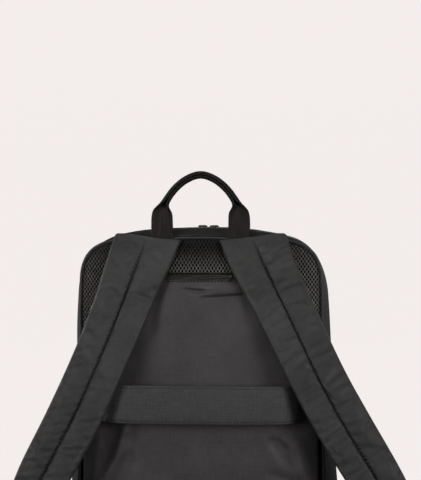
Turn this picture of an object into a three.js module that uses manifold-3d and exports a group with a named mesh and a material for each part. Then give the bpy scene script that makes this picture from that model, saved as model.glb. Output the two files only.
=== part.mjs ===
// Laptop backpack standing on its base: a padded back with air mesh, a back pocket, a band for a
// suitcase handle, two padded shoulder straps, a grab handle and a zipped, hollow bag.
// Millimetres, +Z up, -Y towards the wearer's back, origin on the floor under the middle of the bag.
import * as THREE from "three";
import { mergeVertices } from "three/addons/utils/BufferGeometryUtils.js";
import Module from "manifold-3d";

const wasm = await Module();
wasm.setup();

// Driving dimensions

const GAP = 0.3; // what sewn or resting neighbours keep between them
const CLOTH = 2; // the bag's cloth with its backing
const BACK_SEAM_Y = -55; // where the gusset is sewn to the back panel
const FRONT_SEAM_Y = 55; // where the gusset is sewn to the front panel
const SIDE_SEAM_Z = 240; // where the zip gusset is sewn to the base gusset
const STEPS = { straight: 2, bend: 6 }; // along each stretch of the bag's outline
const ROUND = 0.552; // handle length of a curve that is close to a quarter circle
const NEARBY = 0.01; // share of a route over which its direction is taken

// The bag's outline, seen from behind, at the back seam, in the middle of its depth and at the front seam.
// cornerIn and cornerDown say where a shoulder starts and ends, from the side and from the crest.
const BODY = {
  back: {
    halfBase: 139, halfShoulder: 135.5, crest: 417.5,
    archDrop: 6.5, cornerIn: 38.5, cornerDown: 50, baseRadius: 22,
  },
  middle: {
    halfBase: 160, halfShoulder: 147, crest: 430,
    archDrop: 10.5, cornerIn: 50, cornerDown: 85, baseRadius: 34,
  },
  front: {
    halfBase: 138, halfShoulder: 131, crest: 416,
    archDrop: 8, cornerIn: 42, cornerDown: 62, baseRadius: 24,
  },
};

// Where the main zip lies in the gusset's depth, from 0 at the back seam to 1 at the front seam.
const ZIP = { from: 0.66, to: 0.76, coilHalf: 0.016, coilHeight: 1.4 };
const SLIDERS = [
  { name: "zip_slider_left", x: -3.4, facing: 1 },
  { name: "zip_slider_right", x: 10.2, facing: -1 },
];
const SLIDER = { length: 11, wide: 8, tall: 2.6, pullLength: 26, pullWide: 6, pullTall: 1.6 };

const PAD = { inset: 1, rim: 3, crown: 9, flatShare: 0.82, rings: 4, centreZ: 208 };
const FRONT = { inset: 0.5, crown: 18, flatShare: 0.3, rings: 5, centreZ: 205 };
const POCKET = {
  cloth: 1.5, mouthZ: 366.8, mouthHalf: 74, edgeInset: 2,
  bindingHeight: 7, bindingThick: 2.4,
};

// The trolley band, as its stand-off from the pocket's face across half its width.
const BAND = { bottom: 209, top: 251.5, thick: 2, steps: 64 };
const BAND_ROUTE = [
  { x: 118, off: 1.4 },
  { x: 111.5, off: 1.75 },
  { x: 107, off: 7 },
  { x: 102.5, off: 16 },
  { x: 95, off: 23.5 },
  { x: 78, off: 26.8 },
  { x: 42, off: 28 },
  { x: 0, off: 28.2 },
];

// The grab handle over half its span: flat webbing at the seam that is folded into a narrow grip.
const HANDLE = { y: -58.6, steps: 36, sides: 12, squareness: 0.6 };
const HANDLE_ROUTE = [
  { x: 43.5, z: 415.6, wide: 25.5, deep: 2.6 },
  { x: 44.2, z: 432, wide: 25, deep: 2.8 },
  { x: 43, z: 447, wide: 20, deep: 4 },
  { x: 39.3, z: 459.5, wide: 9, deep: 7.5 },
  { x: 28.6, z: 473.5, wide: 8, deep: 9 },
  { x: 15, z: 484, wide: 8, deep: 9 },
  { x: 0, z: 488.5, wide: 8, deep: 9 },
];

// One shoulder strap from the top seam down. x, y and z are the middle of a section. skew is 0 for a
// section square to the route and 1 for a level one, and yaw turns a section's outer edge backwards.
const STRAP_STEPS = 26;
const STRAP_GROOVE = 1.6; // depth of the sewn line down the middle
const STRAP_ROUTE = [
  { x: 60, y: -62.9, z: 416.5, wide: 77, thick: 8, skew: 0.75, yaw: 0 },
  { x: 66.5, y: -70.8, z: 398, wide: 74, thick: 10.5, skew: 0.4, yaw: 0 },
  { x: 77, y: -77.4, z: 373, wide: 69, thick: 12, skew: 0, yaw: 0 },
  { x: 89, y: -79.5, z: 345, wide: 65.5, thick: 12, skew: 0, yaw: 0 },
  { x: 106.5, y: -89.5, z: 304, wide: 63, thick: 12, skew: 0, yaw: 0 },
  { x: 129.5, y: -103, z: 253, wide: 61.5, thick: 12, skew: 0, yaw: 0 },
  { x: 153, y: -107.5, z: 207, wide: 61, thick: 12, skew: 0, yaw: 0 },
  { x: 185, y: -109, z: 150, wide: 58.5, thick: 12, skew: 0, yaw: 4 },
  { x: 204, y: -107, z: 112, wide: 54, thick: 12, skew: 0, yaw: 16 },
  { x: 214, y: -103.5, z: 82, wide: 48, thick: 11, skew: 0, yaw: 28 },
  { x: 215, y: -102.5, z: 70, wide: 40, thick: 9, skew: 0, yaw: 32 },
];
const STRAP_SWING = 16; // the straps lie loose, both shifted this far to the right at their low ends
const STRAP_SIDES = [
  { side: "left", sign: -1 },
  { side: "right", sign: 1 },
];

const WEBBING = { wide: 25, thick: 1.6, bend: 2.85, tail: 34, bendSteps: 6, leave: 5 };
const LOCK = { wide: 34, long: 26, thick: 3.5, corner: 3, slotWide: 27, slotTall: 4.5, slots: [6.5, 18.5] };
const LOCK_DROP = 4; // from the strap's end to the lock's edge
// The webbing's way from the lock down to the floor and in to the base, with its width turned by yaw.
const WEBBING_ROUTE = [
  { x: 211, y: -89, z: 24, yaw: 43 },
  { x: 201, y: -77, z: 9, yaw: 54 },
  { x: 184, y: -64, z: 3.6, yaw: 62 },
  { x: 163, y: -51.5, z: 4, yaw: 66 },
  { x: 142.4, y: -41, z: 9.2, yaw: 66 },
];

// Finishes

const finish = (color, roughness) => new THREE.MeshStandardMaterial({ color, roughness, metalness: 0 });
const packCloth = finish(0x3e3d3d, 0.62);
const gussetCloth = finish(0x38383a, 0.66);
const strapCloth = finish(0x3f3e3d, 0.6);
const airMesh = finish(0x2c2b2a, 0.85);
const webbingTape = finish(0x282524, 0.75);
const zipTape = finish(0x202022, 0.7);
const blackPlastic = finish(0x161616, 0.45);

const backpack = new THREE.Group();

function addPiece(name, geometry, material, parent = backpack) {
  const piece = new THREE.Mesh(geometry, material);
  piece.name = name;
  parent.add(piece);
  return piece;
}

// Solids from sections

function signedVolume(points, triangles) {
  let six = 0;
  for (let i = 0; i < triangles.length; i += 3) {
    const [a, b, c] = [0, 1, 2].map((k) => points[triangles[i + k]]);
    six += a.dot(new THREE.Vector3().crossVectors(b, c));
  }
  return six / 6;
}

// A closed solid through sections of the same even number of points. Each section runs along one
// face of the piece and back along the other, so its ends are closed by a ladder between the two.
function loft(sections) {
  const count = sections[0].length;
  const points = sections.flat();
  const triangles = [];
  const quad = (a, b, c, d) => triangles.push(a, b, c, a, c, d);
  for (let row = 0; row + 1 < sections.length; row++) {
    for (let k = 0; k < count; k++) {
      const next = (k + 1) % count;
      quad(row * count + k, row * count + next, (row + 1) * count + next, (row + 1) * count + k);
    }
  }
  const last = (sections.length - 1) * count;
  for (let k = 0; k + 1 < count / 2; k++) {
    const opposite = count - 1 - k;
    quad(k, opposite, opposite - 1, k + 1);
    quad(last + k, last + k + 1, last + opposite - 1, last + opposite);
  }
  if (signedVolume(points, triangles) < 0) triangles.reverse();
  const geometry = new THREE.BufferGeometry().setFromPoints(points);
  return geometry.setIndex(triangles);
}

// A shape drawn in X and Z, as thick as the way from yNear to yFar.
function slab(shape, yNear, yFar, curveSegments = 12) {
  const geometry = new THREE.ExtrudeGeometry(shape, {
    depth: Math.abs(yFar - yNear),
    bevelEnabled: false,
    curveSegments,
  });
  return geometry.rotateX(Math.PI / 2).translate(0, Math.max(yNear, yFar), 0);
}

function solidOf(geometry) {
  const bare = geometry.clone();
  bare.deleteAttribute("normal");
  bare.deleteAttribute("uv");
  const merged = mergeVertices(bare, 1e-3);
  return new wasm.Manifold(
    new wasm.Mesh({
      numProp: 3,
      vertProperties: new Float32Array(merged.attributes.position.array),
      triVerts: new Uint32Array(merged.index.array),
    }),
  );
}

function geometryOf(solid) {
  const { vertProperties, triVerts } = solid.getMesh();
  return new THREE.BufferGeometry()
    .setAttribute("position", new THREE.BufferAttribute(vertProperties, 3))
    .setIndex(new THREE.BufferAttribute(triVerts, 1));
}

// Smooth values between the rows of a table, where share runs from 0 at the first row to 1 at the last.
function rowAt(table, share) {
  const place = share * (table.length - 1);
  const from = Math.min(Math.floor(place), table.length - 2);
  const t = place - from;
  const pick = (index) => table[THREE.MathUtils.clamp(index, 0, table.length - 1)];
  const row = {};
  for (const key of Object.keys(table[0])) {
    const [p0, p1, p2, p3] = [from - 1, from, from + 1, from + 2].map((index) => pick(index)[key]);
    const [m1, m2] = [(p2 - p0) / 2, (p3 - p1) / 2];
    row[key] =
      p1 + m1 * t + (3 * (p2 - p1) - 2 * m1 - m2) * t ** 2 + (2 * (p1 - p2) + m1 + m2) * t ** 3;
  }
  return row;
}

const mirrored = (route) => [
  ...route.map((row) => ({ ...row, x: -row.x })),
  ...route.slice(0, -1).reverse(),
];

// The bag's outline

function sizesAt(depth) {
  const { back, middle, front } = BODY;
  const swell = Math.sin(Math.PI * depth);
  const sizes = {};
  for (const key of Object.keys(back)) {
    const straight = THREE.MathUtils.lerp(back[key], front[key], depth);
    sizes[key] = straight + (middle[key] - (back[key] + front[key]) / 2) * swell;
  }
  return sizes;
}

const depthToY = (depth) => THREE.MathUtils.lerp(BACK_SEAM_Y, FRONT_SEAM_Y, depth);

function sideHalfAt(sizes, inset, z) {
  const shoulderZ = sizes.crest - sizes.cornerDown;
  return THREE.MathUtils.mapLinear(z, 0, shoulderZ, sizes.halfBase, sizes.halfShoulder) - inset;
}

// From the left side seam up, over the arched top and down to the right side seam, in X and Z.
function upperRun(depth, inset) {
  const sizes = sizesAt(depth);
  const seamHalf = sideHalfAt(sizes, inset, SIDE_SEAM_Z);
  const half = sizes.halfShoulder - inset;
  const crest = sizes.crest - inset;
  const archHalf = half - sizes.cornerIn;
  const archEnd = crest - sizes.archDrop;
  const cornerZ = archEnd - (2 * sizes.archDrop * sizes.cornerIn) / archHalf;
  const shoulderZ = sizes.crest - sizes.cornerDown;
  return new THREE.Path()
    .moveTo(-seamHalf, SIDE_SEAM_Z)
    .lineTo(-half, shoulderZ)
    .quadraticCurveTo(-half, cornerZ, -archHalf, archEnd)
    .quadraticCurveTo(0, crest + sizes.archDrop, archHalf, archEnd)
    .quadraticCurveTo(half, cornerZ, half, shoulderZ)
    .lineTo(seamHalf, SIDE_SEAM_Z);
}

// From the right side seam down, round the flat base and up to the left side seam, in X and Z.
function lowerRun(depth, inset) {
  const sizes = sizesAt(depth);
  const seamHalf = sideHalfAt(sizes, inset, SIDE_SEAM_Z);
  const half = sizes.halfBase - inset;
  const radius = sizes.baseRadius - inset;
  const bend = radius * (1 - ROUND);
  return new THREE.Path()
    .moveTo(seamHalf, SIDE_SEAM_Z)
    .lineTo(half, inset + radius)
    .bezierCurveTo(half, inset + bend, half - bend, inset, half - radius, inset)
    .lineTo(radius - half, inset)
    .bezierCurveTo(bend - half, inset, -half, inset + bend, -half, inset + radius)
    .lineTo(-seamHalf, SIDE_SEAM_Z);
}

function runPoints(run) {
  const stretch = (curve) => curve.getPoints(curve.isLineCurve ? STEPS.straight : STEPS.bend);
  return [...run.curves.flatMap((curve) => stretch(curve).slice(0, -1)), run.curves.at(-1).getPoint(1)];
}

// The whole outline at one depth as a closed ring of points.
function outlineRing(depth, inset) {
  const runs = [upperRun(depth, inset), lowerRun(depth, inset)];
  return runs.flatMap((run) => runPoints(run).slice(0, -1));
}

// The gusset: two zip strips, the zip between them and the base below them

// A strip of the bag's wall along one run of its outline, between two depths.
function wallStrip(run, from, to, steps, { lift = () => 0, trim = 0 } = {}) {
  const depths = Array.from({ length: steps + 1 }, (_, k) => THREE.MathUtils.lerp(from, to, k / steps));
  const face = (inset) =>
    depths.map((depth) => {
      const y = depthToY(depth);
      return runPoints(run(depth, inset(depth))).map((p) => new THREE.Vector3(p.x, y, p.y));
    });
  const outer = face((depth) => -lift(depth));
  const inner = face(() => CLOTH);
  const sections = outer[0].map((_, at) => [
    ...outer.map((line) => line[at]),
    ...inner.map((line) => line[at]).reverse(),
  ]);
  for (const end of [sections[0], sections.at(-1)]) end.forEach((p) => (p.z += trim));
  return loft(sections);
}

const zipGap = GAP / (FRONT_SEAM_Y - BACK_SEAM_Y);
const zipMiddle = (ZIP.from + ZIP.to) / 2;
const coilLift = (depth) =>
  ZIP.coilHeight * Math.max(0, 1 - ((depth - zipMiddle) / (2 * ZIP.coilHalf)) ** 2);

addPiece("zip_gusset_rear", wallStrip(upperRun, 0, ZIP.from - zipGap, 6, { trim: GAP }), gussetCloth);
addPiece(
  "main_zip",
  wallStrip(upperRun, ZIP.from, ZIP.to, 6, { lift: coilLift, trim: GAP }),
  zipTape,
);
addPiece("zip_gusset_front", wallStrip(upperRun, ZIP.to + zipGap, 1, 3, { trim: GAP }), gussetCloth);
addPiece("base_gusset", wallStrip(lowerRun, 0, 1, 8), gussetCloth);

// A slider on the zip's coil with its pull lying forward on the gusset.
function zipSlider({ x, facing }) {
  const { length, wide, tall, pullLength, pullWide, pullTall } = SLIDER;
  const sizes = sizesAt(zipMiddle);
  const archHalf = sizes.halfShoulder - sizes.cornerIn;
  const topZ = sizes.crest - sizes.archDrop * (x / archHalf) ** 2;
  const front = sizesAt(ZIP.to + pullLength / (FRONT_SEAM_Y - BACK_SEAM_Y));
  const slope = Math.atan2(front.crest - sizes.crest, pullLength + wide / 2);
  const body = new THREE.BoxGeometry(length, wide, tall).translate(0, 0, tall / 2);
  const pull = new THREE.BoxGeometry(pullWide, pullLength, pullTall);
  pull.translate((facing * (length - pullWide)) / 2 - facing, pullLength / 2, tall - pullTall / 2);
  const made = geometryOf(solidOf(body).add(solidOf(pull)));
  made.rotateX(slope);
  return made.translate(x, depthToY(zipMiddle), topZ + ZIP.coilHeight + GAP);
}

for (const slider of SLIDERS) addPiece(slider.name, zipSlider(slider), blackPlastic);

// The padded back and the plain front

const scaledRing = (ring, share, centreZ, y) =>
  ring.map((p) => new THREE.Vector3(p.x * share, y, centreZ + (p.y - centreZ) * share));

// Shares of the outline's size from its rim, 1, in to the flat middle.
const ringShares = ({ flatShare, rings }) =>
  Array.from({ length: rings + 1 }, (_, k) => THREE.MathUtils.lerp(1, flatShare, k / rings));

// The back pad, crowned from its rim to a flat middle. lift raises its outer face.
function backPad(lift = 0, backY = BACK_SEAM_Y - GAP) {
  const ring = outlineRing(0, PAD.inset);
  const rimY = BACK_SEAM_Y - GAP - PAD.rim - lift;
  const crowned = ringShares(PAD).map((share) => {
    const toRim = (share - PAD.flatShare) / (1 - PAD.flatShare);
    return scaledRing(ring, share, PAD.centreZ, rimY - PAD.crown * (1 - toRim ** 2));
  });
  return loft([scaledRing(ring, 1, PAD.centreZ, backY), ...crowned]);
}

const padFaceY = BACK_SEAM_Y - GAP - PAD.rim - PAD.crown;
const pocketFaceY = padFaceY - GAP - POCKET.cloth;

addPiece("back_panel", backPad(), airMesh);

// The back pocket's outline: a narrow mouth under the straps that flares to the full width of the pad.
function pocketShape() {
  const { mouthZ, mouthHalf, edgeInset } = POCKET;
  const lowPoints = runPoints(lowerRun(0, PAD.inset + edgeInset));
  const [first, last] = [lowPoints[0], lowPoints.at(-1)];
  const bend = (mouthZ - SIDE_SEAM_Z) / 2;
  const shape = new THREE.Shape();
  shape.moveTo(-mouthHalf, mouthZ);
  shape.lineTo(mouthHalf, mouthZ);
  shape.bezierCurveTo(mouthHalf + edgeInset, mouthZ - bend, first.x, first.y + bend, first.x, first.y);
  for (const p of lowPoints.slice(1)) shape.lineTo(p.x, p.y);
  shape.bezierCurveTo(last.x, last.y + bend, -mouthHalf - edgeInset, mouthZ - bend, -mouthHalf, mouthZ);
  return shape;
}

function pocketPanel() {
  const wall = solidOf(backPad(GAP + POCKET.cloth)).subtract(solidOf(backPad(GAP, FRONT_SEAM_Y)));
  return geometryOf(wall.intersect(solidOf(slab(pocketShape(), FRONT_SEAM_Y, 2 * BACK_SEAM_Y, 8))));
}

addPiece("pocket_panel", pocketPanel(), packCloth);

function pocketBinding() {
  const { mouthZ, mouthHalf, bindingHeight, bindingThick } = POCKET;
  const shape = new THREE.Shape();
  shape.moveTo(-mouthHalf, mouthZ + GAP);
  shape.lineTo(mouthHalf, mouthZ + GAP);
  shape.lineTo(mouthHalf, mouthZ + GAP + bindingHeight);
  shape.lineTo(-mouthHalf, mouthZ + GAP + bindingHeight);
  return slab(shape, padFaceY - GAP, padFaceY - GAP - bindingThick);
}

addPiece("pocket_binding", pocketBinding(), webbingTape);

function frontPanel() {
  const ring = outlineRing(1, FRONT.inset);
  const rimY = FRONT_SEAM_Y + GAP;
  const innerShare = 1 - CLOTH / BODY.front.halfShoulder;
  const shares = ringShares(FRONT);
  const face = (size, rise) =>
    shares.map((share) => {
      const toRim = (share - FRONT.flatShare) / (1 - FRONT.flatShare);
      return scaledRing(ring, share * size, FRONT.centreZ, rimY + rise + FRONT.crown * (1 - toRim ** 3));
    });
  const inner = face(innerShare, 0);
  const outer = face(1, CLOTH);
  return loft([...inner.reverse(), ...outer]);
}

addPiece("front_panel", frontPanel(), packCloth);

// The trolley band

function trolleyBand() {
  const route = mirrored(BAND_ROUTE).map(({ x, off }) => new THREE.Vector2(x, pocketFaceY - off));
  const curve = new THREE.SplineCurve(route);
  const sections = curve.getSpacedPoints(BAND.steps).map((p, k) => {
    const along = curve.getTangentAt(k / BAND.steps);
    const out = new THREE.Vector2(along.y, -along.x).multiplyScalar(BAND.thick / 2);
    const [front, back] = [p.clone().add(out), p.clone().sub(out)];
    return [
      new THREE.Vector3(front.x, front.y, BAND.bottom),
      new THREE.Vector3(front.x, front.y, BAND.top),
      new THREE.Vector3(back.x, back.y, BAND.top),
      new THREE.Vector3(back.x, back.y, BAND.bottom),
    ];
  });
  return loft(sections);
}

addPiece("trolley_band", trolleyBand(), packCloth);

// The grab handle

// Rounded section points around a middle, wide along one direction and deep along another.
function roundSection(middle, wideAxis, deepAxis, wide, deep) {
  const soft = (value) => Math.sign(value) * Math.abs(value) ** HANDLE.squareness;
  return Array.from({ length: HANDLE.sides }, (_, k) => {
    const turn = ((k + 0.5) / HANDLE.sides) * 2 * Math.PI;
    return middle
      .clone()
      .addScaledVector(wideAxis, (soft(Math.cos(turn)) * wide) / 2)
      .addScaledVector(deepAxis, (soft(Math.sin(turn)) * deep) / 2);
  });
}

function grabHandle() {
  const route = mirrored(HANDLE_ROUTE);
  const deepAxis = new THREE.Vector3(0, 1, 0);
  const middleAt = (share) => {
    const row = rowAt(route, THREE.MathUtils.clamp(share, 0, 1));
    return new THREE.Vector3(row.x, HANDLE.y, row.z);
  };
  const sections = Array.from({ length: HANDLE.steps + 1 }, (_, k) => {
    const share = k / HANDLE.steps;
    const row = rowAt(route, share);
    const along = middleAt(share + NEARBY).sub(middleAt(share - NEARBY)).normalize();
    const wideAxis = new THREE.Vector3().crossVectors(along, deepAxis);
    return roundSection(middleAt(share), wideAxis, deepAxis, row.wide, row.deep);
  });
  return loft(sections);
}

addPiece("grab_handle", grabHandle(), webbingTape);

// The shoulder straps

// One section of a strap across its width: share runs over the width, face over the thickness.
const STRAP_SECTION = [
  { share: -0.5, face: 0.1 },
  { share: -0.46, face: 0.42 },
  { share: -0.25, face: 0.5 },
  { share: -0.06, face: 0.46 },
  { share: 0, face: 0.5, groove: 1 },
  { share: 0.06, face: 0.46 },
  { share: 0.25, face: 0.5 },
  { share: 0.46, face: 0.42 },
  { share: 0.5, face: 0.1 },
];

// The middle and the three axes of a strap's section, where share runs from its top to its low end.
function strapFrame({ sign }, share) {
  const place = (at) => {
    const row = rowAt(STRAP_ROUTE, THREE.MathUtils.clamp(at, 0, 1));
    const swing = STRAP_SWING * THREE.MathUtils.smoothstep(at, 0, 1);
    return { row, middle: new THREE.Vector3(sign * row.x + swing, row.y, row.z) };
  };
  const { row, middle } = place(share);
  const along = place(share + NEARBY).middle.sub(place(share - NEARBY).middle).normalize();
  const yaw = THREE.MathUtils.degToRad(row.yaw);
  const across = new THREE.Vector3(sign * Math.cos(yaw), Math.sin(yaw), 0);
  across.addScaledVector(along, (row.skew - 1) * across.dot(along)).normalize();
  const outward = new THREE.Vector3().crossVectors(along, across).multiplyScalar(sign).normalize();
  return { row, middle, along, across, outward };
}

function shoulderStrap(side) {
  const sections = Array.from({ length: STRAP_STEPS + 1 }, (_, k) => {
    const { row, middle, across, outward } = strapFrame(side, k / STRAP_STEPS);
    const point = (share, height) =>
      middle.clone().addScaledVector(across, share * row.wide).addScaledVector(outward, height);
    const front = STRAP_SECTION.map(({ share, face, groove = 0 }) =>
      point(share, face * row.thick - groove * STRAP_GROOVE),
    );
    const back = STRAP_SECTION.map(({ share, face }) => point(share, -face * row.thick)).reverse();
    return [...front, ...back];
  });
  return loft(sections);
}

// The lock at the strap's low end, the tab that holds it and the webbing down to the base

// A strip of webbing through places that each give a middle and the direction of the width.
function webbingStrip(places) {
  const sections = places.map(({ middle, across }, k) => {
    const before = places[Math.max(0, k - 1)].middle;
    const after = places[Math.min(places.length - 1, k + 1)].middle;
    const along = after.clone().sub(before).normalize();
    const side = across.clone().addScaledVector(along, -across.dot(along)).normalize();
    const out = new THREE.Vector3().crossVectors(side, along).multiplyScalar(WEBBING.thick / 2);
    const half = side.multiplyScalar(WEBBING.wide / 2);
    return [
      middle.clone().add(half).add(out),
      middle.clone().sub(half).add(out),
      middle.clone().sub(half).sub(out),
      middle.clone().add(half).sub(out),
    ];
  });
  return loft(sections);
}

// A half turn of webbing round a bar, in the lock's own frame: down is along the strap, front is outward.
function halfTurn(downAt, opensDown) {
  const sense = opensDown ? -1 : 1;
  return Array.from({ length: WEBBING.bendSteps + 1 }, (_, k) => {
    const turn = (k / WEBBING.bendSteps) * Math.PI;
    return { down: downAt + sense * WEBBING.bend * Math.sin(turn), front: WEBBING.bend * Math.cos(turn) };
  });
}

function ladderLock() {
  const { wide, long, thick, corner, slotWide, slotTall, slots } = LOCK;
  const plate = new THREE.Shape();
  plate.moveTo(corner - wide / 2, 0);
  plate.absarc(wide / 2 - corner, corner, corner, -Math.PI / 2, 0, false);
  plate.absarc(wide / 2 - corner, long - corner, corner, 0, Math.PI / 2, false);
  plate.absarc(corner - wide / 2, long - corner, corner, Math.PI / 2, Math.PI, false);
  plate.absarc(corner - wide / 2, corner, corner, Math.PI, 1.5 * Math.PI, false);
  for (const middle of slots) {
    const slot = new THREE.Path();
    slot.moveTo(-slotWide / 2, middle - slotTall / 2);
    slot.lineTo(-slotWide / 2, middle + slotTall / 2);
    slot.lineTo(slotWide / 2, middle + slotTall / 2);
    slot.lineTo(slotWide / 2, middle - slotTall / 2);
    slot.closePath();
    plate.holes.push(slot);
  }
  const geometry = new THREE.ExtrudeGeometry(plate, { depth: thick, bevelEnabled: false, curveSegments: 4 });
  return geometry.translate(0, LOCK_DROP, -thick / 2);
}

function addStrap(side) {
  addPiece(`shoulder_strap_${side.side}`, shoulderStrap(side), strapCloth);

  const end = strapFrame(side, 1);
  const inFrame = ({ down, front }) => ({
    middle: end.middle.clone().addScaledVector(end.along, down).addScaledVector(end.outward, front),
    across: end.across,
  });
  const [upperSlot, lowerSlot] = LOCK.slots.map((middle) => LOCK_DROP + middle);

  const lock = addPiece(`ladder_lock_${side.side}`, ladderLock(), blackPlastic);
  const widthAxis = new THREE.Vector3().crossVectors(end.along, end.outward);
  lock.applyMatrix4(new THREE.Matrix4().makeBasis(widthAxis, end.along, end.outward).setPosition(end.middle));

  const tab = [
    { down: GAP, front: WEBBING.bend },
    ...halfTurn(upperSlot - WEBBING.bend, false),
    { down: GAP, front: -WEBBING.bend },
  ];
  addPiece(`lock_tab_${side.side}`, webbingStrip(tab.map(inFrame)), webbingTape);

  const lockEnd = LOCK_DROP + LOCK.long;
  const fromTail = [
    { down: lockEnd + WEBBING.tail, front: WEBBING.bend + GAP },
    { down: lockEnd + WEBBING.tail / 2, front: WEBBING.bend + 1 },
    ...halfTurn(lowerSlot + WEBBING.bend, true),
    { down: lockEnd, front: -WEBBING.bend - GAP },
    { down: lockEnd + WEBBING.leave, front: -WEBBING.bend - 2 * GAP },
  ];
  const atBase = WEBBING_ROUTE.at(-1).x;
  const atStrap = STRAP_ROUTE.at(-1).x;
  const shift = (x) => side.sign * x + STRAP_SWING * THREE.MathUtils.smoothstep(x, atBase, atStrap) ** 2;
  const toBase = WEBBING_ROUTE.map((row) => {
    const yaw = THREE.MathUtils.degToRad(row.yaw);
    return {
      middle: new THREE.Vector3(shift(row.x), row.y, row.z),
      across: new THREE.Vector3(side.sign * Math.cos(yaw), Math.sin(yaw), 0),
    };
  });
  addPiece(`strap_webbing_${side.side}`, webbingStrip([...fromTail.map(inFrame), ...toBase]), webbingTape);
}

for (const side of STRAP_SIDES) addStrap(side);

export default backpack;
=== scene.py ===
"""Looks of the laptop backpack: cloth, air mesh, webbing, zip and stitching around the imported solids.

Shapes are worked out in millimetres, in the frame of the CAD model, and become metres when a mesh is made.
"""

import logging
import math
from dataclasses import dataclass
from enum import Enum

import bmesh
import bpy
import numpy as np
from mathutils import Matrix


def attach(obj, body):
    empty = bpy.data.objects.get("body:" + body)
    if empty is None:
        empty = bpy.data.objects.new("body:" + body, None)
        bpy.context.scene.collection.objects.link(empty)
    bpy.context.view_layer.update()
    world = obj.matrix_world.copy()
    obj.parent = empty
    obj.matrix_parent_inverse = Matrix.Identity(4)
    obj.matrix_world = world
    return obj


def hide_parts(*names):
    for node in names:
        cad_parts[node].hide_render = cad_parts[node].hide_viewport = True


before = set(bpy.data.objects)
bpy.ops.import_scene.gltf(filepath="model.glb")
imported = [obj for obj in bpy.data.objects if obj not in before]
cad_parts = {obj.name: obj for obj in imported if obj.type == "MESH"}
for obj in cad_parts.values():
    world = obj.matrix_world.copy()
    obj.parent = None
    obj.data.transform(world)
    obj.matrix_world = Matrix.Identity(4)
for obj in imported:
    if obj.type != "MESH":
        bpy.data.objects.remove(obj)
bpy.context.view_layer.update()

LOG = logging.getLogger("laptop_backpack")
Array = np.ndarray
Colour = tuple[float, float, float]
Place = tuple[float, float, float]
Spot = tuple[float, float]  # a place on a flat sheet, or in X and Z
Socket = bpy.types.NodeSocket
Grain = tuple[Socket, Socket]  # a shade and a height

MM = 0.001  # metres in a millimetre
TINY = 1e-9  # keeps zero from standing below a division
BODY = "root"
CLOTH_MAP = "cloth"  # the UV map that holds each corner's place on the flat cloth, in metres
GAP = 0.3  # what sewn neighbours keep between them
FLOOR = 0.05  # how low a cord in the base seam may reach
ROUND = 0.448  # where the inner controls of a quarter circle lie, as a share of the way from its corner
LIP_SCALE = 2.33  # makes the highest point of an offset times its bell one
ZIP_FROM, ZIP_TO = 0.66, 0.76  # the zip's edges, as shares of the bag's depth from the back seam

TO_WEARER = (0.0, -1.0, 0.0)
TO_FRONT = (0.0, 1.0, 0.0)
BAG_MIDDLE = np.array([0.0, 0.0, 215.0])
PAST_FRONT = np.array([0.0, 500.0, 200.0])  # what the faces on the back look away from
PAST_BACK = np.array([0.0, -400.0, 200.0])  # what the faces on the front look away from

# One shoulder strap from the top seam down: x, y, z, wide, thick, skew, yaw.
STRAP_ROUTE = np.array([
    (60.0, -62.9, 416.5, 77.0, 8.0, 0.75, 0.0),
    (66.5, -70.8, 398.0, 74.0, 10.5, 0.4, 0.0),
    (77.0, -77.4, 373.0, 69.0, 12.0, 0.0, 0.0),
    (89.0, -79.5, 345.0, 65.5, 12.0, 0.0, 0.0),
    (106.5, -89.5, 304.0, 63.0, 12.0, 0.0, 0.0),
    (129.5, -103.0, 253.0, 61.5, 12.0, 0.0, 0.0),
    (153.0, -107.5, 207.0, 61.0, 12.0, 0.0, 0.0),
    (185.0, -109.0, 150.0, 58.5, 12.0, 0.0, 4.0),
    (204.0, -107.0, 112.0, 54.0, 12.0, 0.0, 16.0),
    (214.0, -103.5, 82.0, 48.0, 11.0, 0.0, 28.0),
    (215.0, -102.5, 70.0, 40.0, 9.0, 0.0, 32.0),
])
STRAP_SWING = 16.0  # both straps lie this far to the right at their low ends

# The webbing's way from the lock to the base: x, y, z, yaw.
WEBBING_ROUTE = np.array([
    (211.0, -89.0, 24.0, 43.0),
    (201.0, -77.0, 9.0, 54.0),
    (184.0, -64.0, 3.6, 62.0),
    (163.0, -51.5, 4.0, 66.0),
    (142.4, -41.0, 9.2, 66.0),
])

# The trolley band over half its span: x and its stand-off from the pocket's face.
BAND_ROUTE = np.array([
    (118.0, 1.4), (113.5, 1.75), (110.8, 7.0), (107.0, 15.0),
    (100.5, 22.0), (88.0, 26.2), (50.0, 27.9), (0.0, 28.2),
])

# The grab handle over half its span: x, z, its webbing's width and how far that is rolled up, in turns.
HANDLE_ROUTE = np.array([
    (43.2, 412.4, 25.0, 0.00),
    (44.2, 432.0, 25.0, 0.03),
    (43.4, 446.0, 24.0, 0.24),
    (39.6, 458.5, 21.0, 0.92),
    (28.6, 473.5, 20.0, 0.96),
    (15.0, 484.0, 20.0, 0.97),
    (0.0, 488.5, 20.0, 0.97),
])


# Numbers


def smooth(low: float, high: float, value: Array) -> Array:
    """A soft step from 0 at low to 1 at high: 3t^2 - 2t^3."""
    share = np.clip((value - low) / (high - low), 0.0, 1.0)
    return share * share * (3.0 - 2.0 * share)


def bell(offset: Array) -> Array:
    """A bump of height one at zero: e to the power of minus the offset squared."""
    return np.exp(-offset * offset)


def unit(vectors: Array) -> Array:
    """The same directions with a length of one."""
    return vectors / np.maximum(np.linalg.norm(vectors, axis=-1, keepdims=True), TINY)


def rounded_edge(inward: Array, radius: float) -> Array:
    """A quarter circle from 0 at an edge to 1 at the radius: the root of 1 - (1 - inward / radius)^2."""
    short = 1.0 - np.clip(inward / radius, 0.0, 1.0)
    return np.sqrt(1.0 - short * short)


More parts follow.
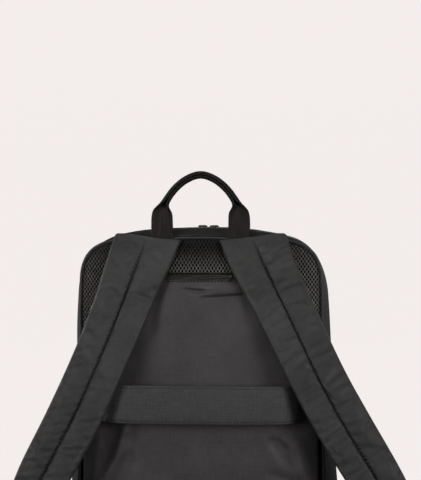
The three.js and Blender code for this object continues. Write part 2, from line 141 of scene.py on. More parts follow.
def same_way(way: Place, count: int) -> Array:
    """One direction for each of a number of points."""
    return np.broadcast_to(np.array(way), (count, 3))


def upright(flat: Array, y: float | Array) -> Array:
    """Points in X and Z, with their place along Y put between the two."""
    return np.stack([flat[..., 0], np.broadcast_to(y, flat.shape[:-1]), flat[..., 1]], axis=-1)


def rows_at(table: Array, share: Array) -> Array:
    """Smooth values between the rows of a table: cubics whose slopes are half the way between the neighbours.

    Args:
        table: rows of numbers.
        share: places from 0 at the first row to 1 at the last.

    Returns:
        One row of numbers for each place.
    """
    place = np.clip(share, 0.0, 1.0) * (len(table) - 1)
    start = np.minimum(place.astype(int), len(table) - 2)
    t = (place - start)[:, None]
    before, low, high, after = (table[np.clip(start + k, 0, len(table) - 1)] for k in (-1, 0, 1, 2))
    leave, arrive = (high - before) / 2.0, (after - low) / 2.0
    bend = 3.0 * (high - low) - 2.0 * leave - arrive
    return low + leave * t + bend * t**2 + (2.0 * (low - high) + leave + arrive) * t**3


def lengths_along(path: Array) -> Array:
    """The distance of each point of a path from its start."""
    return np.concatenate([[0.0], np.cumsum(np.linalg.norm(np.diff(path, axis=0), axis=1))])


def spaced(path: Array, count: int) -> Array:
    """The same path with a number of points an even distance apart."""
    along = lengths_along(path)
    at = np.linspace(0.0, along[-1], count)
    return np.stack([np.interp(at, along, path[:, k]) for k in range(path.shape[1])], axis=1)


def bezier(controls: list[Spot], steps: int = 24) -> Array:
    """A curve worked out by stepping between its control points; two controls give a straight line."""
    t = np.linspace(0.0, 1.0, steps)[:, None]
    level = [np.broadcast_to(np.array(point, float), (steps, 2)) for point in controls]
    while len(level) > 1:
        level = [a + (b - a) * t for a, b in zip(level, level[1:])]
    return level[0]


def mirrored(route: Array) -> Array:
    """A route over half a span made whole: the half with x turned round, then the half itself backwards."""
    left = route.copy()
    left[:, 0] *= -1.0
    return np.concatenate([left, route[-2::-1]])


def grid_normals(points: Array) -> Array:
    """The direction square to a grid at each of its points: the cross product of its two slopes."""
    return unit(np.cross(np.gradient(points, axis=1), np.gradient(points, axis=0)))


@dataclass(frozen=True)
class Ripples:
    """Uneven waves over a sheet: a sum of cosines with seeded lengths, directions and phases."""

    seed: int
    shortest: float
    longest: float
    height: float
    turn: float = math.pi  # how far the waves' directions may lie from the first axis
    count: int = 9

    def rise(self, along: Array, across: Array) -> Array:
        """The waves' height at places given by two distances.

        Args:
            along: distances in the waves' main direction.
            across: distances square to it.

        Returns:
            Heights that stay mostly within plus and minus the ripples' height.
        """
        draw = np.random.default_rng(self.seed)
        total = np.zeros(np.broadcast(along, across).shape)
        for _ in range(self.count):
            pitch = draw.uniform(self.shortest, self.longest)
            angle = draw.uniform(-self.turn, self.turn)
            phase = draw.uniform(0.0, 2.0 * math.pi)
            way = along * math.cos(angle) + across * math.sin(angle)
            total += np.cos(2.0 * math.pi * way / pitch + phase)
        return self.height * total / math.sqrt(self.count)


@dataclass(frozen=True)
class Crease:
    """A fold along a straight line on a sheet, which fades out towards its ends."""

    start: Spot
    end: Spot
    width: float
    height: float  # below zero for a valley
    lip: float = 0.0  # height of a step from one side of the line to the other

    def rise(self, across: Array, up: Array) -> Array:
        """A bell over the distance from the line, and for a lip its distance times a bell.

        Args:
            across: places in the first direction.
            up: places in the second direction.

        Returns:
            Heights of the fold.
        """
        start, end = np.array(self.start), np.array(self.end)
        way = end - start
        length = float(np.hypot(*way))
        from_start = across - start[0], up - start[1]
        along = (from_start[0] * way[0] + from_start[1] * way[1]) / length
        beside = (from_start[1] * way[0] - from_start[0] * way[1]) / length
        fade = smooth(-0.25 * length, 0.3 * length, along) * smooth(1.25 * length, 0.7 * length, along)
        offset = beside / self.width
        return fade * (self.height * bell(offset) + self.lip * LIP_SCALE * offset * bell(offset))


# Meshes


@dataclass
class Patch:
    """Points, four-cornered faces and each corner's place on the flat cloth, in millimetres."""

    points: Array
    quads: Array
    cloth: Array

    def turned_out(self, inside: Array | None = None) -> "Patch":
        """The patch with its faces outwards, by the sign of the volume that its faces span.

        Args:
            inside: a point that the faces look away from, or None for a closed shape.

        Returns:
            This patch, with the order of each face's corners reversed if it was inside out.
        """
        a, b, c, d = (self.points[self.quads[:, k]] for k in range(4))
        reference = self.points.mean(axis=0) if inside is None else inside
        spanned = np.sum(np.cross(c - a, d - b) * ((a + b + c + d) / 4.0 - reference))
        if spanned < 0.0:
            self.quads, self.cloth = self.quads[:, ::-1], self.cloth[:, ::-1]
        return self


def joined(patches: list[Patch]) -> Patch:
    """Several patches as one."""
    starts = np.cumsum([0] + [len(patch.points) for patch in patches[:-1]])
    return Patch(
        np.concatenate([patch.points for patch in patches]),
        np.concatenate([patch.quads + start for patch, start in zip(patches, starts)]),
        np.concatenate([patch.cloth for patch in patches]),
    )


def laid_flat(points: Array, wraps: bool) -> Array:
    """Each grid point's place on flat cloth: the mean distance travelled along columns and along rows.

    Args:
        points: rows by columns of points.
        wraps: whether the last column is followed by the first.

    Returns:
        Rows by columns of places, with one column more if the grid wraps.
    """
    looped = np.concatenate([points, points[:, :1]], axis=1) if wraps else points
    across = np.linalg.norm(np.diff(looped, axis=1), axis=2).mean(axis=0)
    along = np.linalg.norm(np.diff(looped, axis=0), axis=2).mean(axis=1)
    sums = [np.concatenate([[0.0], np.cumsum(steps)]) for steps in (across, along)]
    return np.stack(np.meshgrid(*sums), axis=-1)


def grid_patch(points: Array, cloth: Array | None = None, wraps: bool = False, closed: bool = False) -> Patch:
    """A patch over a grid of points, or over many copies of one kind of grid.

    Args:
        points: rows by columns of points, with any number of copies in front.
        cloth: places on the flat cloth, or None to work them out from the first copy.
        wraps: whether the last column is followed by the first.
        closed: whether the first and last row are closed by a ladder of faces.

    Returns:
        The patch.
    """
    rows, columns = points.shape[-3:-1]
    copies = points.reshape(-1, rows, columns, 3)
    if cloth is None:
        cloth = laid_flat(copies[0], wraps)
    number = np.arange(rows * columns).reshape(rows, columns)
    looped = np.concatenate([number, number[:, :1]], axis=1) if wraps else number

    def corners(values: Array) -> Array:
        """The four corners' values of each cell."""
        cells = values[:-1, :-1], values[:-1, 1:], values[1:, 1:], values[1:, :-1]
        return np.stack(cells, axis=2).reshape(-1, 4, *values.shape[2:])

    quads, places = [corners(looped)], [corners(cloth)]
    if closed:
        near = np.arange(columns // 2 - 1)
        far = columns - 1 - near
        ladder = np.stack([near, near + 1, far - 1, far], axis=1)
        for row, steps in ((0, ladder[:, ::-1]), (rows - 1, ladder)):
            quads.append(number[row][steps])
            places.append(cloth[row][steps])
    one = np.concatenate(quads)
    starts = np.arange(len(copies))[:, None, None] * rows * columns
    return Patch(
        copies.reshape(-1, 3),
        (one[None] + starts).reshape(-1, 4),
        np.tile(np.concatenate(places), (len(copies), 1, 1)),
    )


def tube(points: Array) -> Patch:
    """A closed tube over rings of points, or many copies of one kind, with its faces outwards."""
    return grid_patch(points, wraps=True, closed=True).turned_out()


def swept(path: Array, outward: Array, profile: Array, closed: bool = True) -> Array:
    """A profile carried along a path: the path's points plus the profile's two offsets on its axes.

    Args:
        path: points in order.
        outward: the direction of the profile's second offset at each point.
        profile: pairs of offsets, beside the path and outward, the same at each point or one set for each.
        closed: whether the path's last point meets its first, so that directions are taken across the join.

    Returns:
        Path by profile of points.
    """
    if closed:
        along = unit(np.roll(path, -1, axis=0) - np.roll(path, 1, axis=0))
    else:
        along = unit(np.gradient(path, axis=0))
    beside = unit(np.cross(along, outward))
    out = np.cross(beside, along)
    offsets = np.broadcast_to(profile, (len(path), *profile.shape[-2:]))
    return path[:, None] + offsets[..., :1] * beside[:, None] + offsets[..., 1:] * out[:, None]


def rounded_profile(wide: float, tall: float, squareness: float, count: int) -> Array:
    """A closed rounded section: cosine and sine to the power of the squareness, times half the sizes."""
    turn = (np.arange(count) + 0.5) / count * 2.0 * math.pi
    ring = np.stack([np.cos(turn), np.sin(turn)], axis=1)
    return np.sign(ring) * np.abs(ring) ** squareness * np.array([wide, tall]) / 2.0


def rounded_block(size: Place, squareness: float = 0.35, rows: int = 13) -> Array:
    """A soft-edged block: a sphere whose sines and cosines are taken to the power of the squareness."""
    lift = np.linspace(-0.5, 0.5, rows) * math.pi * 0.985  # just short of the poles
    turn = (np.arange(2 * rows) + 0.5) / (2 * rows) * 2.0 * math.pi

    def soft(value: Array) -> Array:
        """The value to the power of the squareness, with its sign."""
        return np.sign(value) * np.abs(value) ** squareness

    round_part = soft(np.cos(lift))[:, None]
    ball = np.stack([
        round_part * soft(np.cos(turn))[None],
        round_part * soft(np.sin(turn))[None],
        np.repeat(soft(np.sin(lift))[:, None], 2 * rows, axis=1),
    ], axis=-1)
    return ball * np.array(size) / 2.0


def stitches(
    path: Array, outward: Array, pitch: float = 3.8, length: float = 2.7, thick: float = 0.8
) -> Patch:
    """A row of stitches: thread loops that rise from the cloth as a parabola and sink in at both ends.

    Args:
        path: points along the sewn line.
        outward: the direction away from the cloth at each point.
        pitch: distance from one stitch to the next.
        length: length of a stitch.
        thick: the thread's thickness.

    Returns:
        All stitches as closed tubes.
    """
    along = lengths_along(path)
    count = max(1, int(along[-1] / pitch))
    middle = (np.arange(count) + 0.5) * along[-1] / count
    share = np.linspace(-0.5, 0.5, 5)
    at = middle[:, None] + share[None] * length

    def place(values: Array) -> Array:
        """The path's values at each ring of each stitch."""
        return np.stack([np.interp(at, along, values[:, k]) for k in range(3)], axis=-1)

    out = unit(place(outward))
    top, fall = 0.38, 2.2  # the loop's height and how it falls to its ends, in threads
    centre = place(path) + out * (thick * (top - fall * share**2))[None, :, None]
    beside = unit(np.cross(np.gradient(centre, axis=1), out))
    turn = np.arange(6) / 6.0 * 2.0 * math.pi
    reach = thick / 2.0 * np.array([0.55, 1.0, 1.1, 1.0, 0.55])
    ring = beside[:, :, None] * np.cos(turn)[:, None] + out[:, :, None] * np.sin(turn)[:, None]
    return tube(centre[:, :, None] + reach[:, None, None] * ring)


# Finishes


class Sketch:
    """Adds nodes to one tree and joins them, so that a formula stays short."""

    def __init__(self, tree: bpy.types.NodeTree) -> None:
        """Keeps the tree that the nodes go into."""
        self.tree = tree

    def put(self, node: bpy.types.Node, key: str | int, value: object) -> None:
        """Links a socket to an input, or sets the input's own value."""
        if isinstance(value, Socket):
            self.tree.links.new(value, node.inputs[key])
        else:
            node.inputs[key].default_value = value

    def add(self, kind: str, inputs: dict | None = None, **settings: object) -> bpy.types.Node:
        """Adds a node.

        Args:
            kind: the node's type.
            inputs: sockets or values by the input's name or number.
            settings: the node's own settings.

        Returns:
            The node.
        """
        node = self.tree.nodes.new(kind)
        for key, value in settings.items():
            setattr(node, key, value)
        for key, value in (inputs or {}).items():
            self.put(node, key, value)
        return node

    def maths(self, operation: str, *values: object) -> Socket:
        """A sum, product or other operation on sockets and numbers."""
        node = self.add("ShaderNodeMath", operation=operation)
        for number, value in enumerate(values):
            self.put(node, number, value)
        return node.outputs[0]

    def noise(self, place: Socket, scale: Place, detail: float = 2.0) -> Socket:
        """Soft noise over places that are first multiplied by a scale in each direction."""
        stretched = self.add("ShaderNodeVectorMath", {0: place, 1: scale}, operation="MULTIPLY").outputs[0]
        inputs = {"Vector": stretched, "Scale": 1.0, "Detail": detail}
        return self.add("ShaderNodeTexNoise", inputs).outputs[0]

    def ridge(self, value: Socket) -> Socket:
        """Rounded ridges one apart: the size of the sine of pi times the value."""
        return self.maths("ABSOLUTE", self.maths("SINE", self.maths("MULTIPLY", value, math.pi)))


def new_group(
    name: str, inputs: dict[str, str]
) -> tuple[Sketch, bpy.types.bpy_prop_collection, bpy.types.Node]:
    """An empty shader node group that puts out a shade and a height.

    Args:
        name: the group's name.
        inputs: the kind of each input by its name.

    Returns:
        A sketch of the group's tree, what the group is given, and its output node.
    """
    tree = bpy.data.node_groups.new(name, "ShaderNodeTree")
    for label, kind in inputs.items():
        tree.interface.new_socket(name=label, in_out="INPUT", socket_type=kind)
    for label in ("Shade", "Height"):
        tree.interface.new_socket(name=label, in_out="OUTPUT", socket_type="NodeSocketFloat")
    sketch = Sketch(tree)
    return sketch, sketch.add("NodeGroupInput").outputs, sketch.add("NodeGroupOutput")


def woven_group() -> bpy.types.NodeTree:
    """Woven cloth: threads cross in cells, and a cell shows the warp where its number fits the repeat.

    The shade adds uneven threads and wide, soft patches to the thread's own height.
    """
    known = bpy.data.node_groups.get("woven_cloth")
    if known:
        return known
    vector, number = "NodeSocketVector", "NodeSocketFloat"
    sketch, given, result = new_group("woven_cloth", {
        "Place": vector, "Spot": vector,
        "Threads": number, "Repeat": number, "Slub": number, "Patina": number,
    })
    axes = sketch.add("ShaderNodeSeparateXYZ", {0: given["Place"]}).outputs
    warp, weft = (sketch.maths("MULTIPLY", axes[k], given["Threads"]) for k in (0, 1))
    cell = sketch.maths("ADD", sketch.maths("FLOOR", warp), sketch.maths("FLOOR", weft))
    turn = sketch.maths("FLOORED_MODULO", cell, given["Repeat"])
    over = sketch.maths("LESS_THAN", turn, sketch.maths("MULTIPLY", given["Repeat"], 0.5))
    low, high = sketch.ridge(weft), sketch.ridge(warp)
    height = sketch.maths("MULTIPLY_ADD", over, sketch.maths("SUBTRACT", high, low), low)
    long_way = sketch.noise(given["Place"], (600.0, 70.0, 1.0))
    cross_way = sketch.noise(given["Place"], (70.0, 600.0, 1.0))
    slub = sketch.maths("SUBTRACT", sketch.maths("ADD", long_way, cross_way), 1.0)
    patch = sketch.maths("SUBTRACT", sketch.noise(given["Spot"], (26.0, 26.0, 26.0), 4.0), 0.5)
    shade = sketch.maths("MULTIPLY_ADD", sketch.maths("SUBTRACT", height, 0.64), 0.6, 0.5)
    shade = sketch.maths("MULTIPLY_ADD", slub, given["Slub"], shade)
    shade = sketch.maths("MULTIPLY_ADD", patch, given["Patina"], shade)
    sketch.put(result, "Shade", sketch.add("ShaderNodeClamp", {0: shade}).outputs[0])
    sketch.put(result, "Height", sketch.maths("MULTIPLY_ADD", slub, 0.8, height))
    return sketch.tree


def ribbed_group() -> bpy.types.NodeTree:
    """Webbing: round ribs along its length, crossed by picks that step on by half from rib to rib."""
    known = bpy.data.node_groups.get("ribbed_webbing")
    if known:
        return known
    sketch, given, result = new_group("ribbed_webbing", {
        "Place": "NodeSocketVector", "Ribs": "NodeSocketFloat", "Picks": "NodeSocketFloat",
    })
    axes = sketch.add("ShaderNodeSeparateXYZ", {0: given["Place"]}).outputs
    rib = sketch.maths("MULTIPLY", axes[0], given["Ribs"])
    pick = sketch.maths("MULTIPLY", axes[1], given["Picks"])
    staggered = sketch.maths("MULTIPLY_ADD", sketch.maths("FLOOR", rib), 0.5, pick)
    crossed = sketch.maths("MULTIPLY_ADD", sketch.ridge(staggered), 0.45, 0.55)
    height = sketch.maths("MULTIPLY", sketch.ridge(rib), crossed)
    uneven = sketch.maths("SUBTRACT", sketch.noise(given["Place"], (360.0, 45.0, 1.0)), 0.5)
    shade = sketch.maths("MULTIPLY_ADD", uneven, 1.5, sketch.maths("MULTIPLY_ADD", height, 0.5, 0.25))
    sketch.put(result, "Shade", sketch.add("ShaderNodeClamp", {0: shade}).outputs[0])
    sketch.put(result, "Height", height)
    return sketch.tree


def moulded_group() -> bpy.types.NodeTree:
    """Moulded plastic: a fine pitted grain, with wider soft patches in its shade."""
    known = bpy.data.node_groups.get("moulded_grain")
    if known:
        return known
    sketch, given, result = new_group("moulded_grain", {"Spot": "NodeSocketVector"})
    grain = sketch.noise(given["Spot"], (2600.0, 2600.0, 2600.0), 3.0)
    patch = sketch.noise(given["Spot"], (180.0, 180.0, 180.0), 3.0)
    shade = sketch.maths("MULTIPLY_ADD", grain, 0.5, sketch.maths("MULTIPLY", patch, 0.5))
    sketch.put(result, "Shade", shade)
    sketch.put(result, "Height", grain)
    return sketch.tree


class Weave(Enum):
    """How the threads of a cloth cross, as the number of threads in one repeat."""

    PLAIN = 2.0
    TWILL = 4.0


@dataclass(frozen=True)
class Finish:
    """What every finish has: its name, the record's slot, its two colours and its gloss."""

    name: str
    slot: str
    dark: Colour
    light: Colour
    rough_low: float
    rough_high: float
    relief: float  # height of the grain, in millimetres
    specular: float = 0.4

    def grain(self, sketch: Sketch) -> Grain:
        """The moulded grain over a piece's own coordinates."""
        spot = sketch.add("ShaderNodeTexCoord").outputs["Object"]
        node = sketch.add("ShaderNodeGroup", {"Spot": spot}, node_tree=moulded_group())
        return node.outputs["Shade"], node.outputs["Height"]

    def material(self) -> bpy.types.Material:
        """The Blender material of this finish, made the first time it is asked for."""
        known = bpy.data.materials.get(self.name)
        if known:
            return known
        made = bpy.data.materials.new(self.name)
        made.use_nodes = True
        sketch = Sketch(made.node_tree)
        shader = made.node_tree.nodes["Principled BSDF"]
        shade, height = self.grain(sketch)
        colour = sketch.add("ShaderNodeMix", {0: shade}, data_type="RGBA")
        colour.inputs[6].default_value = (*self.dark, 1.0)
        colour.inputs[7].default_value = (*self.light, 1.0)
        rough = sketch.add("ShaderNodeMapRange", {"Value": shade})
        rough.inputs["To Min"].default_value = self.rough_high
        rough.inputs["To Max"].default_value = self.rough_low
        bump = sketch.add("ShaderNodeBump", {"Height": height, "Distance": self.relief * MM})
        sketch.put(shader, "Base Color", colour.outputs[2])
        sketch.put(shader, "Roughness", rough.outputs[0])
        sketch.put(shader, "Normal", bump.outputs[0])
        shader.inputs["Specular IOR Level"].default_value = self.specular
        return made


@dataclass(frozen=True)
class ClothFinish(Finish):
    """A woven cloth."""

    weave: Weave = Weave.PLAIN
    threads: float = 2.2  # in a millimetre
    slub: float = 0.5
    patina: float = 0.25

    def grain(self, sketch: Sketch) -> Grain:
        """The weave on the cloth's own map."""
        node = sketch.add("ShaderNodeGroup", {
            "Place": sketch.add("ShaderNodeUVMap", uv_map=CLOTH_MAP).outputs[0],
            "Spot": sketch.add("ShaderNodeTexCoord").outputs["Object"],
            "Threads": self.threads / MM,
            "Repeat": self.weave.value,
            "Slub": self.slub,
            "Patina": self.patina,
        }, node_tree=woven_group())
        return node.outputs["Shade"], node.outputs["Height"]


@dataclass(frozen=True)
class MeshFinish(ClothFinish):
    """Knitted yarn with painted shade, darker where the piece's own attribute is low."""

    # the attribute that holds the yarn's painted shade
    painted_shade: str = "painted_shade"

    def grain(self, sketch: Sketch) -> Grain:
        """The weave, darkened by painted shade where the attribute is low."""
        shade, height = super().grain(sketch)
        shade_paint = sketch.add("ShaderNodeAttribute", attribute_name=self.painted_shade).outputs["Fac"]
        return sketch.maths("MULTIPLY", shade, shade_paint), height


@dataclass(frozen=True)
class WebbingFinish(Finish):
    """Ribbed webbing or knitted tape."""

    ribs: float = 0.62  # in a millimetre
    picks: float = 0.8

    def grain(self, sketch: Sketch) -> Grain:
        """The ribs on the webbing's own map."""
        node = sketch.add("ShaderNodeGroup", {
            "Place": sketch.add("ShaderNodeUVMap", uv_map=CLOTH_MAP).outputs[0],
            "Ribs": self.ribs / MM,
            "Picks": self.picks / MM,
        }, node_tree=ribbed_group())
        return node.outputs["Shade"], node.outputs["Height"]


PACK_CLOTH = ClothFinish(
    "pack_satin_nylon", "pack_fabric", dark=(0.028, 0.0258, 0.0256), light=(0.07, 0.065, 0.0645),
    rough_low=0.46, rough_high=0.6, relief=0.06,
    specular=0.3, weave=Weave.TWILL, threads=1.2, slub=0.55, patina=0.85,
)
# The gusset's fabric painted darker for the base gusset and its piping: painted shade for the shadow the
# straps cast there.
SHADED_BASE_CLOTH = ClothFinish(
    "base_nylon_shaded", "gusset_fabric", dark=(0.0045, 0.0045, 0.0048), light=(0.0135, 0.0135, 0.0143),
    rough_low=0.5, rough_high=0.64, relief=0.06,
    specular=0.2, threads=1.4, slub=0.5, patina=0.6,
)
GUSSET_CLOTH = ClothFinish(
    "gusset_nylon", "gusset_fabric", dark=(0.012, 0.012, 0.0123), light=(0.034, 0.0337, 0.0342),
    rough_low=0.55, rough_high=0.7, relief=0.06,
    specular=0.15, threads=1.4, slub=0.5, patina=0.6,
)
STRAP_CLOTH = ClothFinish(
    "strap_nylon", "strap_fabric", dark=(0.023, 0.0225, 0.0222), light=(0.056, 0.055, 0.0542),
    rough_low=0.5, rough_high=0.64, relief=0.06,
    specular=0.3, weave=Weave.TWILL, threads=1.2, slub=0.55, patina=0.85,
)
BAND_CLOTH = ClothFinish(
    "band_nylon", "pack_fabric", dark=(0.022, 0.022, 0.0222), light=(0.078, 0.078, 0.0785),
    rough_low=0.5, rough_high=0.64, relief=0.16,
    specular=0.3, threads=0.5, slub=0.7, patina=0.4,
)
MESH_YARN = MeshFinish(
    "air_mesh_yarn", "air_mesh", dark=(0.005, 0.0047, 0.0044), light=(0.3, 0.287, 0.27),
    rough_low=0.55, rough_high=0.7, relief=0.08,
    specular=0.25, threads=2.6, slub=0.4, patina=0.3,
)
PAD_LINING = ClothFinish(
    "pad_lining", "air_mesh", dark=(0.004, 0.004, 0.004), light=(0.008, 0.008, 0.008),
    rough_low=0.8, rough_high=0.95, relief=0.05, specular=0.2,
)
WEBBING_CLOTH = WebbingFinish(
    "ribbed_webbing", "webbing", dark=(0.012, 0.0108, 0.0102), light=(0.033, 0.03, 0.029),
    rough_low=0.55, rough_high=0.72, relief=0.22, specular=0.3,
)
HANDLE_CLOTH = WebbingFinish(
    "handle_webbing", "webbing", dark=(0.003, 0.0018, 0.0014), light=(0.0165, 0.0115, 0.0097),
    rough_low=0.5, rough_high=0.66, relief=0.3,
    specular=0.25, ribs=0.44, picks=1.7,
)
BINDING_KNIT = WebbingFinish(
    "knitted_binding", "webbing", dark=(0.001, 0.001, 0.0009), light=(0.046, 0.044, 0.04),
    rough_low=0.6, rough_high=0.75, relief=0.9,
    specular=0.25, ribs=0.36, picks=0.3,
)
ZIP_TAPE = WebbingFinish(
    "zip_tape", "zip_tape", dark=(0.009, 0.009, 0.0095), light=(0.02, 0.02, 0.021),
    rough_low=0.6, rough_high=0.75, relief=0.12,
    ribs=1.4, picks=1.4,
)
ZIP_COIL = Finish(
    "zip_coil", "zip_tape", dark=(0.008, 0.008, 0.008), light=(0.016, 0.016, 0.016),
    rough_low=0.3, rough_high=0.45, relief=0.02,
)
PIPING_CLOTH = ClothFinish(
    "piping_nylon", "gusset_fabric", dark=(0.026, 0.025, 0.026), light=(0.06, 0.058, 0.06),
    rough_low=0.45, rough_high=0.6, relief=0.05,
    specular=0.3, threads=1.6,
)
SEWING_THREAD = Finish(
    "sewing_thread", "pack_fabric", dark=(0.042, 0.041, 0.04), light=(0.085, 0.082, 0.08),
    rough_low=0.45, rough_high=0.6, relief=0.03,
)
DARK_THREAD = Finish(
    "dark_thread", "strap_fabric", dark=(0.006, 0.006, 0.006), light=(0.016, 0.0155, 0.015),
    rough_low=0.5, rough_high=0.65, relief=0.03, specular=0.2,
)
BLACK_PLASTIC = Finish(
    "black_plastic", "black_plastic", dark=(0.007, 0.007, 0.007), light=(0.014, 0.014, 0.014),
    rough_low=0.32, rough_high=0.46, relief=0.03,
)


# Pieces


def add_piece(
    name: str, patch: Patch, finish: Finish, stands_for: tuple[str, ...] = (), weld: bool = False
) -> bpy.types.Object:
    """Makes a patch a mesh object that rides on the pack.

    Args:
        name: the piece's name.
        patch: its points and faces.
        finish: its finish.
        stands_for: the CAD nodes that it replaces.
        weld: whether points at the same place are made one.

    Returns:
        The object.
    """
    mesh = bpy.data.meshes.new(name)
    mesh.vertices.add(len(patch.points))
    mesh.vertices.foreach_set("co", (patch.points * MM).astype(np.float32).ravel())
    mesh.loops.add(patch.quads.size)
    mesh.loops.foreach_set("vertex_index", patch.quads.astype(np.int32).ravel())
    mesh.polygons.add(len(patch.quads))
    mesh.polygons.foreach_set("loop_start", np.arange(0, patch.quads.size, 4, dtype=np.int32))
    mesh.update(calc_edges=True)
    layer = mesh.uv_layers.new(name=CLOTH_MAP)
    layer.data.foreach_set("uv", (patch.cloth * MM).astype(np.float32).ravel())
    if weld:
        melt(mesh, 1e-6)
    mesh.validate()
    mesh.shade_smooth()
    mesh.materials.append(finish.material())
    piece = bpy.data.objects.new(name, mesh)
    bpy.context.scene.collection.objects.link(piece)
    dress(piece, finish, stands_for)
    return piece


def melt(mesh: bpy.types.Mesh, distance: float) -> None:
    """Makes points of a mesh that are nearer than a distance, in metres, one point."""
    work = bmesh.new()
    work.from_mesh(mesh)
    bmesh.ops.remove_doubles(work, verts=work.verts, dist=distance)
    work.to_mesh(mesh)
    work.free()


def dress(piece: bpy.types.Object, finish: Finish, stands_for: tuple[str, ...]) -> None:
    """Lets a piece ride on the pack and hides the CAD nodes that it stands for."""
    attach(piece, BODY)
    if stands_for:
        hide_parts(*stands_for)
    LOG.info("%s: %d faces, %s", piece.name, len(piece.data.polygons), finish.name)


def bevelled_copy(node: str, name: str, finish: Finish, wide: float) -> bpy.types.Object:
    """A CAD node's own shape, merged and with its edges rounded, as the piece that stands for it.

    Args:
        node: the CAD node.
        name: the piece's name.
        finish: its finish.
        wide: how wide the rounding is, in millimetres.

    Returns:
        The object.
    """
    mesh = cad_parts[node].data.copy()
    mesh.materials.clear()
    melt(mesh, 1e-5)
    mesh.shade_smooth()
    mesh.materials.append(finish.material())
    piece = bpy.data.objects.new(name, mesh)
    bpy.context.scene.collection.objects.link(piece)
    bevel = piece.modifiers.new("rounded_edges", "BEVEL")
    bevel.width = wide * MM
    bevel.segments = 3
    bevel.limit_method = "ANGLE"
    bevel.angle_limit = math.radians(25.0)
    bevel.harden_normals = True
    dress(piece, finish, (node,))
    return piece


def thicken(piece: bpy.types.Object, thick: float) -> None:
    """Gives a sheet its thickness, inwards from its outer face."""
    solid = piece.modifiers.new("cloth", "SOLIDIFY")
    solid.thickness = thick * MM
    solid.offset = -1.0


def soften(piece: bpy.types.Object) -> None:
    """Rounds a piece with one subdivision."""
    rounded = piece.modifiers.new("soft", "SUBSURF")
    rounded.levels = rounded.render_levels = 1


def settle(
    piece: bpy.types.Object, sewn: Array, pressure: float, slack: float, furthest: Array, frames: int = 20
) -> None:
    """Lets cloth settle by simulation: air under it, some slack, and sewn points that stay where they are.

    Args:
        piece: the cloth.
        sewn: for each point, whether it is sewn down.
        pressure: the pressure under the cloth.
        slack: how much longer than drawn the cloth is, as a share.
        furthest: the most that each point may move, in millimetres.
        frames: how many steps the cloth gets.
    """
    scene = bpy.context.scene
    held = piece.vertex_groups.new(name="sewn")
    held.add(np.flatnonzero(sewn).tolist(), 1.0, "REPLACE")
    cloth = piece.modifiers.new("settle", "CLOTH")
    fabric = cloth.settings
    fabric.quality = 7
    fabric.mass = 0.2
    fabric.tension_stiffness = fabric.compression_stiffness = 25.0
    fabric.shear_stiffness = 10.0
    fabric.bending_stiffness = 0.35
    fabric.use_pressure = True
    fabric.uniform_pressure_force = pressure
    fabric.shrink_min = fabric.shrink_max = -slack
    fabric.vertex_group_mass = held.name
    fabric.effector_weights.gravity = 0.0
    cloth.collision_settings.use_collision = False
    cloth.point_cache.frame_start, cloth.point_cache.frame_end = 1, frames
    rest = np.zeros(len(piece.data.vertices) * 3, np.float32)
    piece.data.vertices.foreach_get("co", rest)
    for number in range(1, frames + 1):
        scene.frame_set(number)
    moved = np.zeros_like(rest)
    shown = piece.evaluated_get(bpy.context.evaluated_depsgraph_get())
    shown.data.vertices.foreach_get("co", moved)
    way = (moved - rest).reshape(-1, 3)
    far = np.linalg.norm(way, axis=1, keepdims=True)
    limit = np.maximum(furthest.reshape(-1, 1) * MM, TINY)
    kept = rest.reshape(-1, 3) + way * np.tanh(far / limit) * limit / np.maximum(far, TINY)
    piece.modifiers.remove(cloth)
    piece.vertex_groups.remove(held)
    piece.data.vertices.foreach_set("co", kept.astype(np.float32).ravel())
    piece.data.update()
    scene.frame_set(1)
    LOG.info("%s settled, by %.1f mm before the limit", piece.name, float(far.max()) / MM)


# The bag's outline


class Run(Enum):
    """The two stretches of the bag's outline, which meet at the side seams."""

    UPPER = "over the top"
    LOWER = "round the base"


